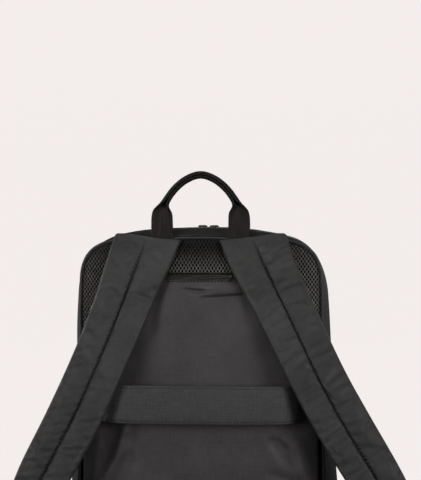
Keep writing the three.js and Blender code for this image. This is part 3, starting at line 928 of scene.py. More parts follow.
@dataclass(frozen=True)
class BodyOutline:
    """The bag's outline seen from behind, at each depth from the back seam, 0, to the front seam, 1.

    A row holds half the width at the base and at the shoulder, the crest's height, how far the arched top
    drops, where a shoulder starts and ends from the side and from the crest, and the radius at the base.
    """

    back: tuple[float, ...] = (139.0, 135.5, 417.5, 6.5, 38.5, 50.0, 22.0)
    middle: tuple[float, ...] = (160.0, 147.0, 430.0, 10.5, 50.0, 85.0, 34.0)
    front: tuple[float, ...] = (138.0, 131.0, 416.0, 8.0, 42.0, 62.0, 24.0)
    back_y: float = -55.0
    front_y: float = 55.0
    side_seam_z: float = 240.0
    dent: float = 4.5  # how far the right shoulder has sunk in
    dent_at: Spot = (140.0, 392.0)
    dent_wide: float = 45.0

    def sizes(self, depth: float) -> Array:
        """A row's values at a depth: straight from back to front, plus a half sine for the middle's swell."""
        back, middle, front = (np.array(row) for row in (self.back, self.middle, self.front))
        swell = (middle - (back + front) / 2.0) * math.sin(math.pi * depth)
        return back + (front - back) * depth + swell

    def y(self, depth: float | Array) -> float | Array:
        """The place of a depth along Y."""
        return self.back_y + (self.front_y - self.back_y) * depth

    def line(self, depth: float, inset: float, run: Run) -> Array:
        """One stretch of the outline in X and Z, from left to right over the top or back round the base."""
        half_base, half_shoulder, crest, drop, corner_in, corner_down, radius = self.sizes(depth)
        shoulder_z = crest - corner_down
        seam_half = half_base + (half_shoulder - half_base) * self.side_seam_z / shoulder_z - inset
        seam = (-seam_half, self.side_seam_z)
        if run is Run.UPPER:
            half, top = half_shoulder - inset, crest - inset
            arch_half, arch_end = half - corner_in, top - drop
            corner_z = arch_end - 2.0 * drop * corner_in / arch_half
            arch_pull = (-arch_half / 2.0, (arch_end + top + drop) / 2.0)
            side = [
                bezier([seam, (-half, shoulder_z)]),
                bezier([(-half, shoulder_z), (-half, corner_z), (-arch_half, arch_end)]),
                bezier([(-arch_half, arch_end), arch_pull, (0.0, top)]),
            ]
        else:
            half, bent = half_base - inset, radius - inset
            low, pull = inset + bent, ROUND * bent
            side = [
                bezier([seam, (-half, low)]),
                bezier([(-half, low), (-half, inset + pull), (pull - half, inset), (bent - half, inset)]),
                bezier([(bent - half, inset), (0.0, inset)]),
            ]
        left = np.concatenate(side)
        right = left[-2::-1] * np.array([-1.0, 1.0])
        whole = np.concatenate([left, right])
        away = np.hypot(*(whole - np.array(self.dent_at)).T) / self.dent_wide
        whole[:, 0] -= self.dent * math.sin(math.pi * depth) * bell(away)
        return whole if run is Run.UPPER else whole[::-1]

    def ring(self, depth: float, inset: float, count: int) -> Array:
        """The whole outline as a closed ring of evenly spaced points that ends where it starts."""
        both = np.concatenate([self.line(depth, inset, Run.UPPER), self.line(depth, inset, Run.LOWER)])
        return spaced(both, count)

    def wall(self, run: Run, depths: Array, columns: int, inset: float = 0.0) -> Array:
        """The bag's wall: one stretch of the outline at each depth, as rows by columns of points."""
        rows = [spaced(self.line(float(depth), inset, run), columns) for depth in depths]
        return upright(np.stack(rows), np.asarray(self.y(depths))[:, None])


def disc_grid(ring: Array, centre: Spot, count: int) -> tuple[Array, Array]:
    """A square grid pressed into an outline: its rim follows that, and inner squares shrink to a centre.

    Args:
        ring: the closed outline's points, in X and Z.
        centre: what the inner squares shrink to.
        count: points along a side of the grid.

    Returns:
        The grid's points in X and Z, and each point's share of the way from the centre to the rim.
    """
    a, b = np.meshgrid(np.linspace(-1.0, 1.0, count), np.linspace(-1.0, 1.0, count))
    share = np.maximum(np.abs(a), np.abs(b))
    safe = np.maximum(share, TINY)
    open_ring = ring[:-1]
    total = len(open_ring)
    ways = np.array([(-1.0, 1.0), (1.0, 1.0), (1.0, -1.0), (-1.0, -1.0)])
    corner = np.argmax((open_ring - np.array(centre)) @ ways.T, axis=0).astype(float)
    stop = np.roll(corner, -1)
    stop = np.where(stop < corner, stop + total, stop)
    sides = [b >= share, a >= share, b <= -share, a <= -share]
    along = [(a / safe + 1.0) / 2.0, (1.0 - b / safe) / 2.0, (1.0 - a / safe) / 2.0, (b / safe + 1.0) / 2.0]
    at = np.select(sides, [corner[k] + (stop[k] - corner[k]) * along[k] for k in range(4)])
    number = np.arange(2 * total)
    twice = np.concatenate([open_ring, open_ring])
    rim = np.stack([np.interp(at, number, twice[:, k]) for k in range(2)], axis=-1)
    middle = np.array(centre)
    return middle + (rim - middle) * share[..., None], share


@dataclass
class PadShape:
    """The crowned outer face of the padded back, which the pocket and the straps lie on."""

    outline: BodyOutline
    inset: float = 1.0
    rim_y: float = -58.3
    crown: float = 9.0
    flat_share: float = 0.82
    centre_z: float = 208.0
    seat_y: float = -55.3

    def ring(self, count: int) -> Array:
        """The pad's outline in X and Z."""
        return self.outline.ring(0.0, self.inset, count)

    def share(self, x: Array, z: Array) -> Array:
        """How far a place is from the pad's centre, as a share of the way to the outline beyond it."""
        ring = self.ring(721)[:-1] - np.array([0.0, self.centre_z])
        angle = np.arctan2(ring[:, 1], ring[:, 0])
        reach = np.interp(np.arctan2(z - self.centre_z, x), angle, np.hypot(*ring.T), period=2.0 * math.pi)
        return np.hypot(x, z - self.centre_z) / reach

    def height(self, share: Array) -> Array:
        """The crown's height over the rim: flat in the middle and a parabola down to the rim."""
        to_rim = np.clip((share - self.flat_share) / (1.0 - self.flat_share), 0.0, 1.0)
        return self.crown * (1.0 - to_rim**2)

    def face_y(self, x: Array, z: Array) -> Array:
        """The outer face's place along Y."""
        return self.rim_y - self.height(self.share(x, z))


# Sub-assemblies


@dataclass
class BackPad:
    """The padded back: a dark lining under a face of knitted air mesh with real holes, and a piped edge."""

    shape: PadShape
    mesh_deep: float = 1.7
    pitch_across: float = 4.03
    pitch_up: float = 5.8
    hole_wide: float = 2.6
    hole_tall: float = 4.2
    drawn: float = 1.17  # how much taller the cells above the pocket are drawn
    turned: float = 3.0  # how far the mesh turns round the pad's edge
    yarn_high: float = 0.55
    mesh_low: float = 236.0
    yarn_share: float = 1.22  # the yarn's surface over the flat area of its cells
    beyond_straps: float = 60.0  # from here outwards the mesh shows beside the straps
    piping: Spot = (3.0, 3.4)  # width and height of the cord's section

    def build(self) -> list[bpy.types.Object]:
        """Builds the lining, the air mesh and the piping."""
        lining = add_piece("back_pad_lining", self.lining(), PAD_LINING, ("back_panel",))
        patch, flat_area = self.air_mesh()
        mesh = add_piece("air_mesh_face", patch, MESH_YARN, weld=True)
        # painted shade on the air mesh: darker under the top seam, lighter to the right
        self.paint_yarn_shade(mesh)
        upper = add_piece("back_seam_piping", self.edge_piping(Run.UPPER), PIPING_CLOTH)
        lower = add_piece("base_seam_piping", self.edge_piping(Run.LOWER), SHADED_BASE_CLOTH)
        return [lining, mesh, upper, lower]

    def lining(self) -> Patch:
        """Rings from the face's middle out to the rim and back on the seat: the outline times a share."""
        ring = self.shape.ring(241)[:-1]
        shares = np.concatenate([np.linspace(0.02, 0.8, 10), np.linspace(0.83, 1.012, 13)])
        sunk = self.mesh_deep * smooth(1.016, 0.95, shares)
        front = self.shape.rim_y - self.shape.height(shares) + sunk
        every = np.concatenate([shares, shares[::-1]])
        y = np.concatenate([front, np.full(len(shares), self.shape.seat_y)])
        middle = np.array([0.0, self.shape.centre_z])
        flat = middle + (ring - middle)[None] * every[:, None, None]
        flat[..., 1] = np.maximum(flat[..., 1], 1.0)
        return tube(upright(flat, y[:, None]))

    def air_mesh(self) -> tuple[Patch, float]:
        """Knitted mesh: a six-sided cell round each hole of a staggered lattice, in four rings of twelve.

        The rings go from the cell's border over the round yarn to the hole's rim and down its wall. In the
        middle the heights above the lowest row are drawn out.

        Returns:
            The mesh, and the flat area it was cut from in square metres.
        """
        across, up = self.pitch_across, self.pitch_up / 2.0
        columns, rows = np.meshgrid(np.arange(-34, 35), np.arange(0, 80))
        x = (columns + 0.5 * (rows % 2)) * across
        z = self.mesh_low + rows * up
        x, z = x.ravel(), z.ravel()
        high = self.drawn_out(x, z)
        share = self.shape.share(x, high)
        past = np.hypot(x, high - self.shape.centre_z) * (share - 1.0)
        edge = self.turned * self.outer(x) - 1.5
        # cells in the mouth's gap are left out, so the dark lining shows there as painted shade
        keep = (past < edge) & ~self.behind_pocket(x, high) & ~self.under_mouth(x, high)
        x, z = x[keep], z[keep]
        tip, waist = (across**2 / 4.0 + up**2) / (2.0 * up), (up**2 - across**2 / 4.0) / (2.0 * up)
        half = across / 2.0
        hexagon = np.array([
            (0.0, tip), (-half, waist), (-half, -waist), (0.0, -tip), (half, -waist), (half, waist),
        ])
        border = np.stack([hexagon, (hexagon + np.roll(hexagon, -1, axis=0)) / 2.0], axis=1).reshape(-1, 2)
        angle = np.arctan2(border[:, 1] / self.hole_tall, border[:, 0] / self.hole_wide)
        hole = np.stack([np.cos(angle) * self.hole_wide, np.sin(angle) * self.hole_tall], axis=1) / 2.0
        rings = np.stack([border, border * 0.42 + hole * 0.58, hole, hole * 0.86])
        lift = self.yarn_high * np.array([1.0, 0.86, 0.25, 0.0])
        lift[-1] -= 0.75 * self.mesh_deep
        px = x[:, None, None] + rings[None, ..., 0]
        pz = self.drawn_out(px, z[:, None, None] + rings[None, ..., 1])
        near = self.shape.share(px, pz)
        fall = 2.2 * np.clip((near - 1.0) / 0.018, 0.0, 1.2) ** 2
        raised = lift[None, :, None] * smooth(1.02, 0.99, near)
        py = self.shape.rim_y - self.shape.height(near) + fall - raised
        points = np.stack([px, py, pz], axis=-1)
        patch = grid_patch(points, wraps=True)
        patch.cloth = points.reshape(-1, 3)[patch.quads][..., [0, 2]]
        patch.turned_out(PAST_FRONT)
        return patch, float(len(x) * across * up * MM * MM) * self.yarn_share

    def outer(self, x: Array) -> Array:
        """How far a place lies out beside the straps, from 0 to 1."""
        return smooth(self.beyond_straps, 100.0, np.abs(x))

    def drawn_out(self, x: Array, z: Array) -> Array:
        """A height on the mesh as it is drawn out in the middle."""
        more = (self.drawn - 1.0) * smooth(75.0, 50.0, np.abs(x))
        return self.mesh_low + (z - self.mesh_low) * (1.0 + more)

    def paint_yarn_shade(self, piece: bpy.types.Object) -> None:
        """Writes the yarn's painted shade: darkest under the top seam, lighter lower down and at the sides,
        and lighter still to the right.
        """
        flat = np.zeros(len(piece.data.vertices) * 3, np.float32)
        piece.data.vertices.foreach_get("co", flat)
        x, z = flat[0::3] / MM, flat[2::3] / MM
        # painted shade: the shadow under the top seam, and more light towards the right
        middle = 0.12 + 0.88 * smooth(408.0, 376.0, z)
        side = 0.5 + 0.75 * smooth(414.0, 362.0, z) + 0.2 * smooth(-60.0, 60.0, x)
        shade = np.where(np.abs(x) < self.beyond_straps, middle, side)
        layer = piece.data.attributes.new(MESH_YARN.painted_shade, "FLOAT", "POINT")
        layer.data.foreach_set("value", shade.astype(np.float32))

    def behind_pocket(self, x: Array, z: Array) -> Array:
        """Whether a place is so far behind the pocket's panel that no mesh shows there."""
        return (z < 360.0) & (np.abs(x) < BackPocket.half_at(z) - 9.0)

    def under_mouth(self, x: Array, z: Array) -> Array:
        """Whether a place lies in the gap above the pocket's binding, where the mesh is left out so that the
        dark lining shows as painted shade.
        """
        return (np.abs(x) < 70.0) & (np.abs(z - 375.2) < 2.0)

    def edge_piping(self, run: Run) -> Patch:
        """A round cord in the back seam, carried along the outline and outside the mesh at the sides."""
        ring, wide = (spaced(self.shape.outline.line(0.0, inset, run), 161) for inset in (0.6, -2.6))
        beside = self.outer(ring[:, :1]) * smooth(30.0, 80.0, ring[:, 1:])
        path = upright(ring + (wide - ring) * beside, self.shape.outline.back_y - 2.0)
        points = swept(path, same_way(TO_WEARER, len(path)), rounded_profile(*self.piping, 0.8, 10))
        points[..., 2] = np.maximum(points[..., 2], FLOOR)
        return tube(points)


@dataclass
class BackPocket:
    """The back pocket: a slack panel over the pad with a knitted binding on its mouth."""

    shape: PadShape
    cloth: float = 1.4
    mouth_z: float = 366.8
    low_z: float = 3.0
    mouth_half: float = 74.0
    binding_tall: float = 7.4
    binding_thick: float = 2.4
    binding_cloth: float = 0.8
    binding_inside: Place = (0.0, -68.0, 360.0)  # what the binding's faces look away from
    seam_in: float = 3.0  # how far the panel's edge lies inside the back seam
    flare_half: float = 133.7  # half the width where the flare to the mouth starts
    columns: int = 121
    rows: int = 151
    fine_z: float = 334.0  # above this the rows lie closer, for the sharp folds below the mouth
    fine_rows: int = 36

    WIDE_WAVES = Ripples(11, 60.0, 150.0, 0.45)
    CRUMPLES = Ripples(12, 22.0, 46.0, 1.0)
    CREASES = (
        Crease((8.0, 350.5), (52.0, 353.5), 2.6, 0.4, 2.6),
        Crease((-16.0, 359.0), (8.0, 356.0), 3.0, -1.8, 1.4),
        Crease((2.0, 352.0), (16.0, 361.0), 2.6, 1.4),
        Crease((-48.0, 356.0), (-52.0, 300.0), 9.0, -2.2),
        Crease((-36.0, 340.0), (-40.0, 318.0), 5.0, 1.0),
        Crease((48.0, 352.0), (54.0, 310.0), 9.0, -2.0),
        Crease((-84.0, 206.0), (-92.0, 165.0), 6.0, 4.6),
        Crease((-90.0, 172.0), (-108.0, 138.0), 7.0, 3.4),
        Crease((-74.0, 204.0), (-76.0, 150.0), 7.0, -1.6),
        Crease((-104.0, 204.0), (-112.0, 150.0), 7.0, -2.6),
        Crease((82.0, 191.0), (101.0, 179.0), 6.0, -1.8, 1.5),
        Crease((90.0, 186.0), (102.0, 160.0), 7.5, -1.8, 1.4),
        Crease((104.0, 192.0), (117.0, 146.0), 8.0, 3.4),
        Crease((80.0, 152.0), (120.0, 140.0), 8.0, -1.2, 1.2),
        Crease((-60.0, 60.0), (40.0, 52.0), 12.0, 1.2),
        Crease((30.0, 110.0), (100.0, 88.0), 11.0, 1.0),
    )

    @classmethod
    def half_at(cls, z: Array) -> Array:
        """Half the panel's width at a height: the base's corner, the side, then the flare in to the mouth."""
        half_base, half_shoulder, crest, _, _, corner_down, radius = BodyOutline.back
        shoulder_z, seam_z = crest - corner_down, BodyOutline.side_seam_z
        lean = (half_base - half_shoulder) * np.clip(z, 0.0, shoulder_z) / shoulder_z
        corner = radius - cls.seam_in
        drop = np.clip(radius - z, 0.0, corner)
        side = half_base - lean - cls.seam_in - corner + np.sqrt(np.maximum(corner**2 - drop**2, 0.0))
        bend = (cls.mouth_z - seam_z) / 2.0
        flare = bezier([
            (cls.flare_half, seam_z), (cls.flare_half, seam_z + bend),
            (cls.mouth_half + 2.0, cls.mouth_z - bend), (cls.mouth_half, cls.mouth_z),
        ], 60)
        return np.where(z < seam_z, side, np.interp(z, flare[:, 1], flare[:, 0]))

    def build(self) -> list[bpy.types.Object]:
        """Builds the panel, its binding, the seam below the binding and the bar tacks."""
        flat = self.surface(0.0)
        points = self.surface(1.0)
        patch = grid_patch(points).turned_out(PAST_FRONT)
        panel = add_piece("back_pocket_panel", patch, PACK_CLOTH, ("pocket_panel",))
        thicken(panel, self.cloth)
        binding = add_piece("pocket_binding_tape", self.binding(), BINDING_KNIT, ("pocket_binding",))
        thicken(binding, self.binding_cloth)
        seam = add_piece("pocket_topstitch", self.topstitch(), SEWING_THREAD)
        tacks = add_piece("pocket_bar_tacks", self.bar_tacks(), ZIP_COIL)
        return [panel, binding, seam, tacks]

    def surface(self, slack: float) -> Array:
        """The panel over the pad's face: rows as wide as the cut at their heights, lifted by slack and folds.

        Args:
            slack: how much of the slack and folds is there, from 0 to 1.

        Returns:
            Rows by columns of points on the outer face.
        """
        even = np.linspace(self.low_z, self.fine_z, self.rows)
        fine = np.linspace(self.fine_z, self.mouth_z, self.fine_rows)[1:]
        z = np.concatenate([even, fine])[:, None]
        side = np.linspace(-1.0, 1.0, self.columns)[None]
        x = side * self.half_at(z)
        up = np.broadcast_to(z, x.shape)
        lift = GAP + self.cloth + self.rise(x, up) * slack
        return np.stack([x, self.shape.face_y(x, up) - lift, up], axis=-1)

    def rise(self, x: Array, z: Array) -> Array:
        """How far the cloth stands off: a low crown, waves and the folds, held down at the sewn edges."""
        side = np.abs(x) / self.half_at(z)
        free = smooth(1.0, 0.9, side) * smooth(self.low_z, self.low_z + 25.0, z)
        crumple = 0.12 + 0.4 * smooth(50.0, 95.0, np.abs(x)) * smooth(215.0, 195.0, z)
        waves = self.WIDE_WAVES.rise(x, z) + self.CRUMPLES.rise(x, z) * crumple
        folds = sum(crease.rise(x, z) for crease in self.CREASES)
        mouth = smooth(self.mouth_z, self.mouth_z - 9.0, z)
        crown = 1.6 * (1.0 - side**2)
        return np.maximum(free * (crown + (waves + folds) * mouth + 1.0), 0.0)

    def front_y(self, x: Array, z: Array) -> Array:
        """The panel's outer face along Y."""
        return self.shape.face_y(x, z) - GAP - self.cloth - self.rise(x, z)

    def binding(self) -> Patch:
        """A tape folded over the mouth's edge: up the back, round the fold and down the front, along X."""
        x = np.linspace(-self.mouth_half, self.mouth_half, 150)
        z = np.full_like(x, self.mouth_z) + 0.5 * (1.0 - (x / self.mouth_half) ** 2)
        y = self.front_y(x, np.full_like(x, self.mouth_z)) + 0.6
        path = np.stack([x, y, z], axis=1)
        half, tall = self.binding_thick / 2.0, self.binding_tall - self.binding_thick / 2.0
        turn = np.linspace(-0.5, 0.5, 9) * math.pi
        leg = np.linspace(-0.4, tall, 10)[:-1]
        up = np.concatenate([leg, tall + half * np.cos(turn), leg[::-1]])
        out = np.concatenate([np.full(9, -half), half * np.sin(turn), np.full(9, half)])
        pressed = 0.35 * bell((up - 1.3) / 0.8) * np.sign(out)
        profile = np.stack([-up, out - pressed], axis=1)
        points = swept(path, same_way(TO_WEARER, len(path)), profile, closed=False)
        return grid_patch(points).turned_out(np.array(self.binding_inside))

    def topstitch(self) -> Patch:
        """Two rows of stitches, on the binding's low edge and on the panel below it."""
        x = np.linspace(-self.mouth_half + 2.0, self.mouth_half - 2.0, 120)
        outward = same_way(TO_WEARER, len(x))
        rows = []
        for z, off in ((self.mouth_z + 0.9, 0.75), (self.mouth_z - 2.6, 0.0)):
            y = self.front_y(x, np.full_like(x, min(z, self.mouth_z))) - off
            rows.append(stitches(np.stack([x, y, np.full_like(x, z)], axis=1), outward))
        return joined(rows)

    def bar_tacks(self) -> Patch:
        """A slanting bar of close stitches at each end of the mouth that shows between the straps."""
        parts = []
        for side in (-1.0, 1.0):
            share = np.linspace(0.0, 1.0, 8)
            x = side * (37.0 - 4.0 * share)
            z = self.mouth_z + self.binding_tall - 1.4 - 5.6 * share
            y = self.front_y(x, np.full_like(x, self.mouth_z)) - 1.0
            path = np.stack([x, y, z], axis=1)
            outward = same_way(TO_WEARER, len(x))
            parts.append(stitches(path, outward, pitch=1.3, length=1.2, thick=1.2))
        return joined(parts)


@dataclass
class TrolleyBand:
    """The band across the back: a doubled strip, sewn flat at both ends and standing off in the middle."""

    bottom: float = 209.0
    top: float = 251.5
    thick: float = 2.0
    face_y: float = -69.1
    stitch_in: float = 2.8
    columns: int = 190
    rows: int = 30  # on each face

    WIDE_WAVES = Ripples(21, 90.0, 190.0, 0.35, turn=0.5)
    PUCKERS = Ripples(22, 7.0, 14.0, 0.1, turn=0.2)

    def path(self) -> tuple[Array, Array]:
        """The strip's middle line and the direction away from the bag, over X and Y."""
        route = mirrored(BAND_ROUTE)
        line = spaced(rows_at(route, np.linspace(0.0, 1.0, 600)), self.columns)
        points = np.stack([line[:, 0], self.face_y - line[:, 1], np.zeros(len(line))], axis=1)
        along = unit(np.gradient(points, axis=0))
        return points, np.cross(along, np.array([0.0, 0.0, 1.0]))

    def build(self) -> list[bpy.types.Object]:
        """Builds the band and its two rows of stitches."""
        path, outward = self.path()
        across = lengths_along(path)
        tall = self.top - self.bottom
        turn = np.concatenate([np.linspace(0.0, 1.0, self.rows), np.linspace(1.0, 0.0, self.rows)])
        front = np.repeat([1.0, -1.0], self.rows)
        edge = np.minimum(turn, 1.0 - turn) * tall
        groove = 0.6 * bell(edge - self.stitch_in)
        depth = front * (self.thick / 2.0 * np.maximum(rounded_edge(edge, 1.1), 0.12) - groove)
        up = self.bottom + turn * tall
        places = np.broadcast_to(across[:, None], (len(path), len(turn)))
        heights = np.broadcast_to(up[None], places.shape)
        end = np.minimum(across, across[-1] - across)[:, None]
        slack = smooth(8.0, 60.0, end)
        waves = self.WIDE_WAVES.rise(places, heights) * slack
        pucker = self.PUCKERS.rise(places, heights) * bell((edge - self.stitch_in) / 4.0)
        bow = 0.9 * np.sin(math.pi * turn) * slack
        off = depth[None] + waves + pucker + bow
        droop = 0.7 * slack * (turn[None] - 1.0) * np.sin(math.pi * across / across[-1])[:, None]
        points = path[:, None] + outward[:, None] * off[..., None]
        points[..., 2] = heights + droop
        band = add_piece("trolley_band_strip", tube(points), BAND_CLOTH, ("trolley_band",))
        sewn = int(np.argmin(np.abs(edge[: self.rows // 2] - self.stitch_in)))
        rows = [stitches(points[:, row], outward) for row in (sewn, self.rows - 1 - sewn)]
        seams = add_piece("trolley_band_stitches", joined(rows), DARK_THREAD)
        return [band, seams]


@dataclass
class BagShell:
    """The sewn bag: a gusset in three strips and a base, and a slack front panel."""

    outline: BodyOutline
    cloth: float = 1.8
    zip_from: float = ZIP_FROM
    zip_to: float = ZIP_TO
    zip_gap: float = 0.0027  # this and the next two are shares of the depth
    beside_zip: float = 0.028
    beside_seam: float = 0.04
    front_inset: float = 0.5
    front_crown: float = 18.0
    front_flat: float = 0.3
    front_centre_z: float = 205.0
    piping: Spot = (3.4, 3.6)  # width and height of the cord's section

    def build(self) -> list[bpy.types.Object]:
        """Builds the strips, the front panel, the piping in its seam and the stitches beside the zip."""
        made = [
            self.strip("zip_gusset_rear", Run.UPPER, (0.0, self.zip_from - self.zip_gap), 30, 31),
            self.strip("zip_gusset_front", Run.UPPER, (self.zip_to + self.zip_gap, 1.0), 16, 32),
            self.strip("base_gusset", Run.LOWER, (0.0, 1.0), 44, 33),
            self.front_panel(),
        ]
        made.append(add_piece("front_seam_piping", self.front_piping(), GUSSET_CLOTH, weld=True))
        made.append(add_piece("gusset_stitches", self.topstitches(), SEWING_THREAD))
        return made

    def strip(
        self, node: str, run: Run, depths: tuple[float, float], rows: int, seed: int
    ) -> bpy.types.Object:
        """One strip of the gusset, with wide slack waves and small puckers along its two seams.

        Args:
            node: the CAD node that it stands for.
            run: the stretch of the outline that it follows.
            depths: where its two edges are.
            rows: points across its depth.
            seed: what its waves are drawn from.

        Returns:
            The object.
        """
        # the base gusset takes the darker copy of the gusset fabric, painted shade
        columns, finish = (281, GUSSET_CLOTH) if run is Run.UPPER else (241, SHADED_BASE_CLOTH)
        flat = self.outline.wall(run, np.linspace(*depths, rows), columns)
        cloth = laid_flat(flat, False)
        along, deep = cloth[..., 0], cloth[..., 1]
        width = deep[-1, 0]
        edge = np.minimum(deep, width - deep)
        waves = (0.9 + Ripples(seed, 70.0, 180.0, 0.9).rise(along, deep)) * smooth(0.0, 22.0, edge)
        pucker = Ripples(seed + 40, 8.0, 17.0, 0.32, turn=0.25).rise(along, deep) * np.exp(-edge / 9.0)
        off_floor = smooth(1.0, 26.0, flat[..., 2])
        normal = grid_normals(flat)
        normal = normal * np.sign(np.sum(normal * (flat - BAG_MIDDLE), axis=-1, keepdims=True))
        points = flat + normal * ((waves + pucker) * off_floor)[..., None]
        piece = add_piece(f"{node}_cloth", grid_patch(points).turned_out(BAG_MIDDLE), finish, (node,))
        thicken(piece, self.cloth)
        return piece

    def front_panel(self) -> bpy.types.Object:
        """A grid pressed into the front outline, crowned by one minus the cube of the way to the rim."""
        ring = self.outline.ring(1.0, self.front_inset, 801)
        flat, share = disc_grid(ring, (0.0, self.front_centre_z), 75)
        to_rim = np.clip((share - self.front_flat) / (1.0 - self.front_flat), 0.0, 1.0)
        y = self.outline.front_y + GAP + self.cloth + self.front_crown * (1.0 - to_rim**3)
        waves = Ripples(51, 60.0, 160.0, 0.8).rise(flat[..., 0], flat[..., 1]) * smooth(1.0, 0.85, share)
        points = upright(flat, y + waves)
        patch = grid_patch(points).turned_out(PAST_BACK)
        panel = add_piece("front_panel_cloth", patch, PACK_CLOTH, ("front_panel",))
        settle(panel, (share > 0.985).ravel(), pressure=2.5, slack=0.02, furthest=np.full(share.size, 6.0))
        thicken(panel, self.cloth)
        return panel

    def front_piping(self) -> Patch:
        """A round cord of cloth in the front seam, carried along the outline."""
        path = upright(self.outline.ring(1.0, 0.4, 301)[:-1], self.outline.front_y + 0.6)
        points = swept(path, same_way(TO_FRONT, len(path)), rounded_profile(*self.piping, 0.9, 10))
        lifted = np.concatenate([points, points[:1]])
        lifted[..., 2] = np.maximum(lifted[..., 2], FLOOR)
        return grid_patch(lifted, wraps=True).turned_out()

    def topstitches(self) -> Patch:
        """Rows of stitches a little way from the zip's two tapes and from the back seam."""
        rows = []
        for depth in (self.zip_from - self.beside_zip, self.zip_to + self.beside_zip, self.beside_seam):
            line = spaced(self.outline.line(depth, -0.5, Run.UPPER), 400)
            outward = unit(upright(line - np.array([0.0, 250.0]), 0.0))
            rows.append(stitches(upright(line, self.outline.y(depth)), outward))
        return joined(rows)


@dataclass
class MainZip:
    """The closed main zip: a tape, a coil of two rows of teeth and two sliders with pulls."""

    outline: BodyOutline
    from_depth: float = ZIP_FROM
    to_depth: float = ZIP_TO
    tape: float = 1.6
    tooth_pitch: float = 1.7
    slider_length: float = 11.0
    slider_wide: float = 8.0
    slider_tall: float = 2.6
    pull_length: float = 26.0
    pull_wide: float = 6.0
    pull_tall: float = 1.6

    def build(self) -> list[bpy.types.Object]:
        """Builds the tape, the teeth and both sliders."""
        depths = np.linspace(self.from_depth, self.to_depth, 13)
        flat = self.outline.wall(Run.UPPER, depths, 281)
        tape = add_piece("main_zip_tape", grid_patch(flat).turned_out(BAG_MIDDLE), ZIP_TAPE, ("main_zip",))
        thicken(tape, self.tape)
        teeth = add_piece("main_zip_teeth", self.teeth(), ZIP_COIL)
        made = [tape, teeth]
        for name, x, facing in (("zip_slider_left", -3.4, 1.0), ("zip_slider_right", 10.2, -1.0)):
            made.append(add_piece(name + "_body", self.slider(x, facing), BLACK_PLASTIC, (name,)))
        return made

    def middle(self) -> float:
        """The depth of the zip's middle line."""
        return (self.from_depth + self.to_depth) / 2.0

    def teeth(self) -> Patch:
        """Two rows of round loops of the coil, laid across the middle line and half a pitch apart."""
        depth = self.middle()
        line = self.outline.line(depth, -0.35, Run.UPPER)
        total = lengths_along(line)[-1]
        path = spaced(line, int(total / self.tooth_pitch))
        along = unit(np.gradient(path, axis=0))
        outward = np.stack([-along[:, 1], along[:, 0]], axis=1)
        outward *= np.sign(np.sum(outward * (path - np.array([0.0, 250.0])), axis=1, keepdims=True))
        share = np.linspace(-0.5, 0.5, 7)
        turn = np.arange(6) / 6.0 * 2.0 * math.pi
        reach = 0.62 * np.array([0.6, 0.95, 1.0, 1.0, 1.0, 0.95, 0.6])
        parts = []
        for side, shift in ((-1.0, 0.0), (1.0, 0.5)):
            at = path[:-1] + (path[1:] - path[:-1]) * shift
            out = outward[:-1]
            y = self.outline.y(depth) + side * 1.1 + share * 2.9
            rise = 0.55 * np.cos(math.pi * share)
            centre = upright(at[:, None] + out[:, None] * rise[:, None], y)
            up, beside = upright(out, 0.0), upright(along[:-1], 0.0)
            ring = up[:, None] * np.sin(turn)[:, None] + beside[:, None] * np.cos(turn)[:, None]
            parts.append(tube(centre[:, :, None] + reach[:, None, None] * ring[:, None]))
        return joined(parts)

    def slider(self, x: float, facing: float) -> Patch:
        """A slider: a soft-edged body, a bridge over it and a pull with a grip, turned to lie on the gusset.

        Args:
            x: where the slider sits along the crest.
            facing: 1 if its mouth looks to the right, -1 to the left.

        Returns:
            The slider with its pull.
        """
        depth = self.middle()
        _, half_shoulder, crest, drop, corner_in, _, _ = self.outline.sizes(depth)
        top = crest - drop * (x / (half_shoulder - corner_in)) ** 2 + 1.4 + GAP
        deep = self.outline.front_y - self.outline.back_y
        crest_ahead = self.outline.sizes(self.to_depth + self.pull_length / deep)[2]
        slope = math.atan2(crest_ahead - crest, self.pull_length + self.slider_wide / 2.0)
        body = rounded_block((self.slider_length, self.slider_wide, self.slider_tall), 0.45)
        taper = 1.0 - 0.14 * facing * body[..., 0] / (self.slider_length / 2.0)
        body[..., 1] *= taper
        body[..., 2] += self.slider_tall / 2.0
        hinge = facing * (self.slider_length - self.pull_wide) / 2.0 - facing
        pull = rounded_block((self.pull_wide, self.pull_length, self.pull_tall), 0.28, 17)
        waist = 1.0 - 0.28 * bell((pull[..., 1] + 5.0) / 4.0)
        pull[..., 0] *= waist
        grip = np.abs(np.sin(math.pi * pull[..., 1] / 2.6)) * smooth(2.0, 4.0, pull[..., 1])
        pull[..., 2] *= 1.0 - 0.16 * grip
        pull += np.array([hinge, self.pull_length / 2.0, self.slider_tall - self.pull_tall / 2.0])
        bridge = rounded_block((3.0, 6.4, 1.2), 0.6, 9) + np.array([hinge, 0.4, self.slider_tall - 0.1])
        whole = joined([tube(shape) for shape in (body, pull, bridge)])
        cos, sin = math.cos(slope), math.sin(slope)
        y, z = whole.points[:, 1].copy(), whole.points[:, 2].copy()
        whole.points[:, 1], whole.points[:, 2] = y * cos - z * sin, y * sin + z * cos
        whole.points += np.array([x, self.outline.y(depth), top])
        return whole


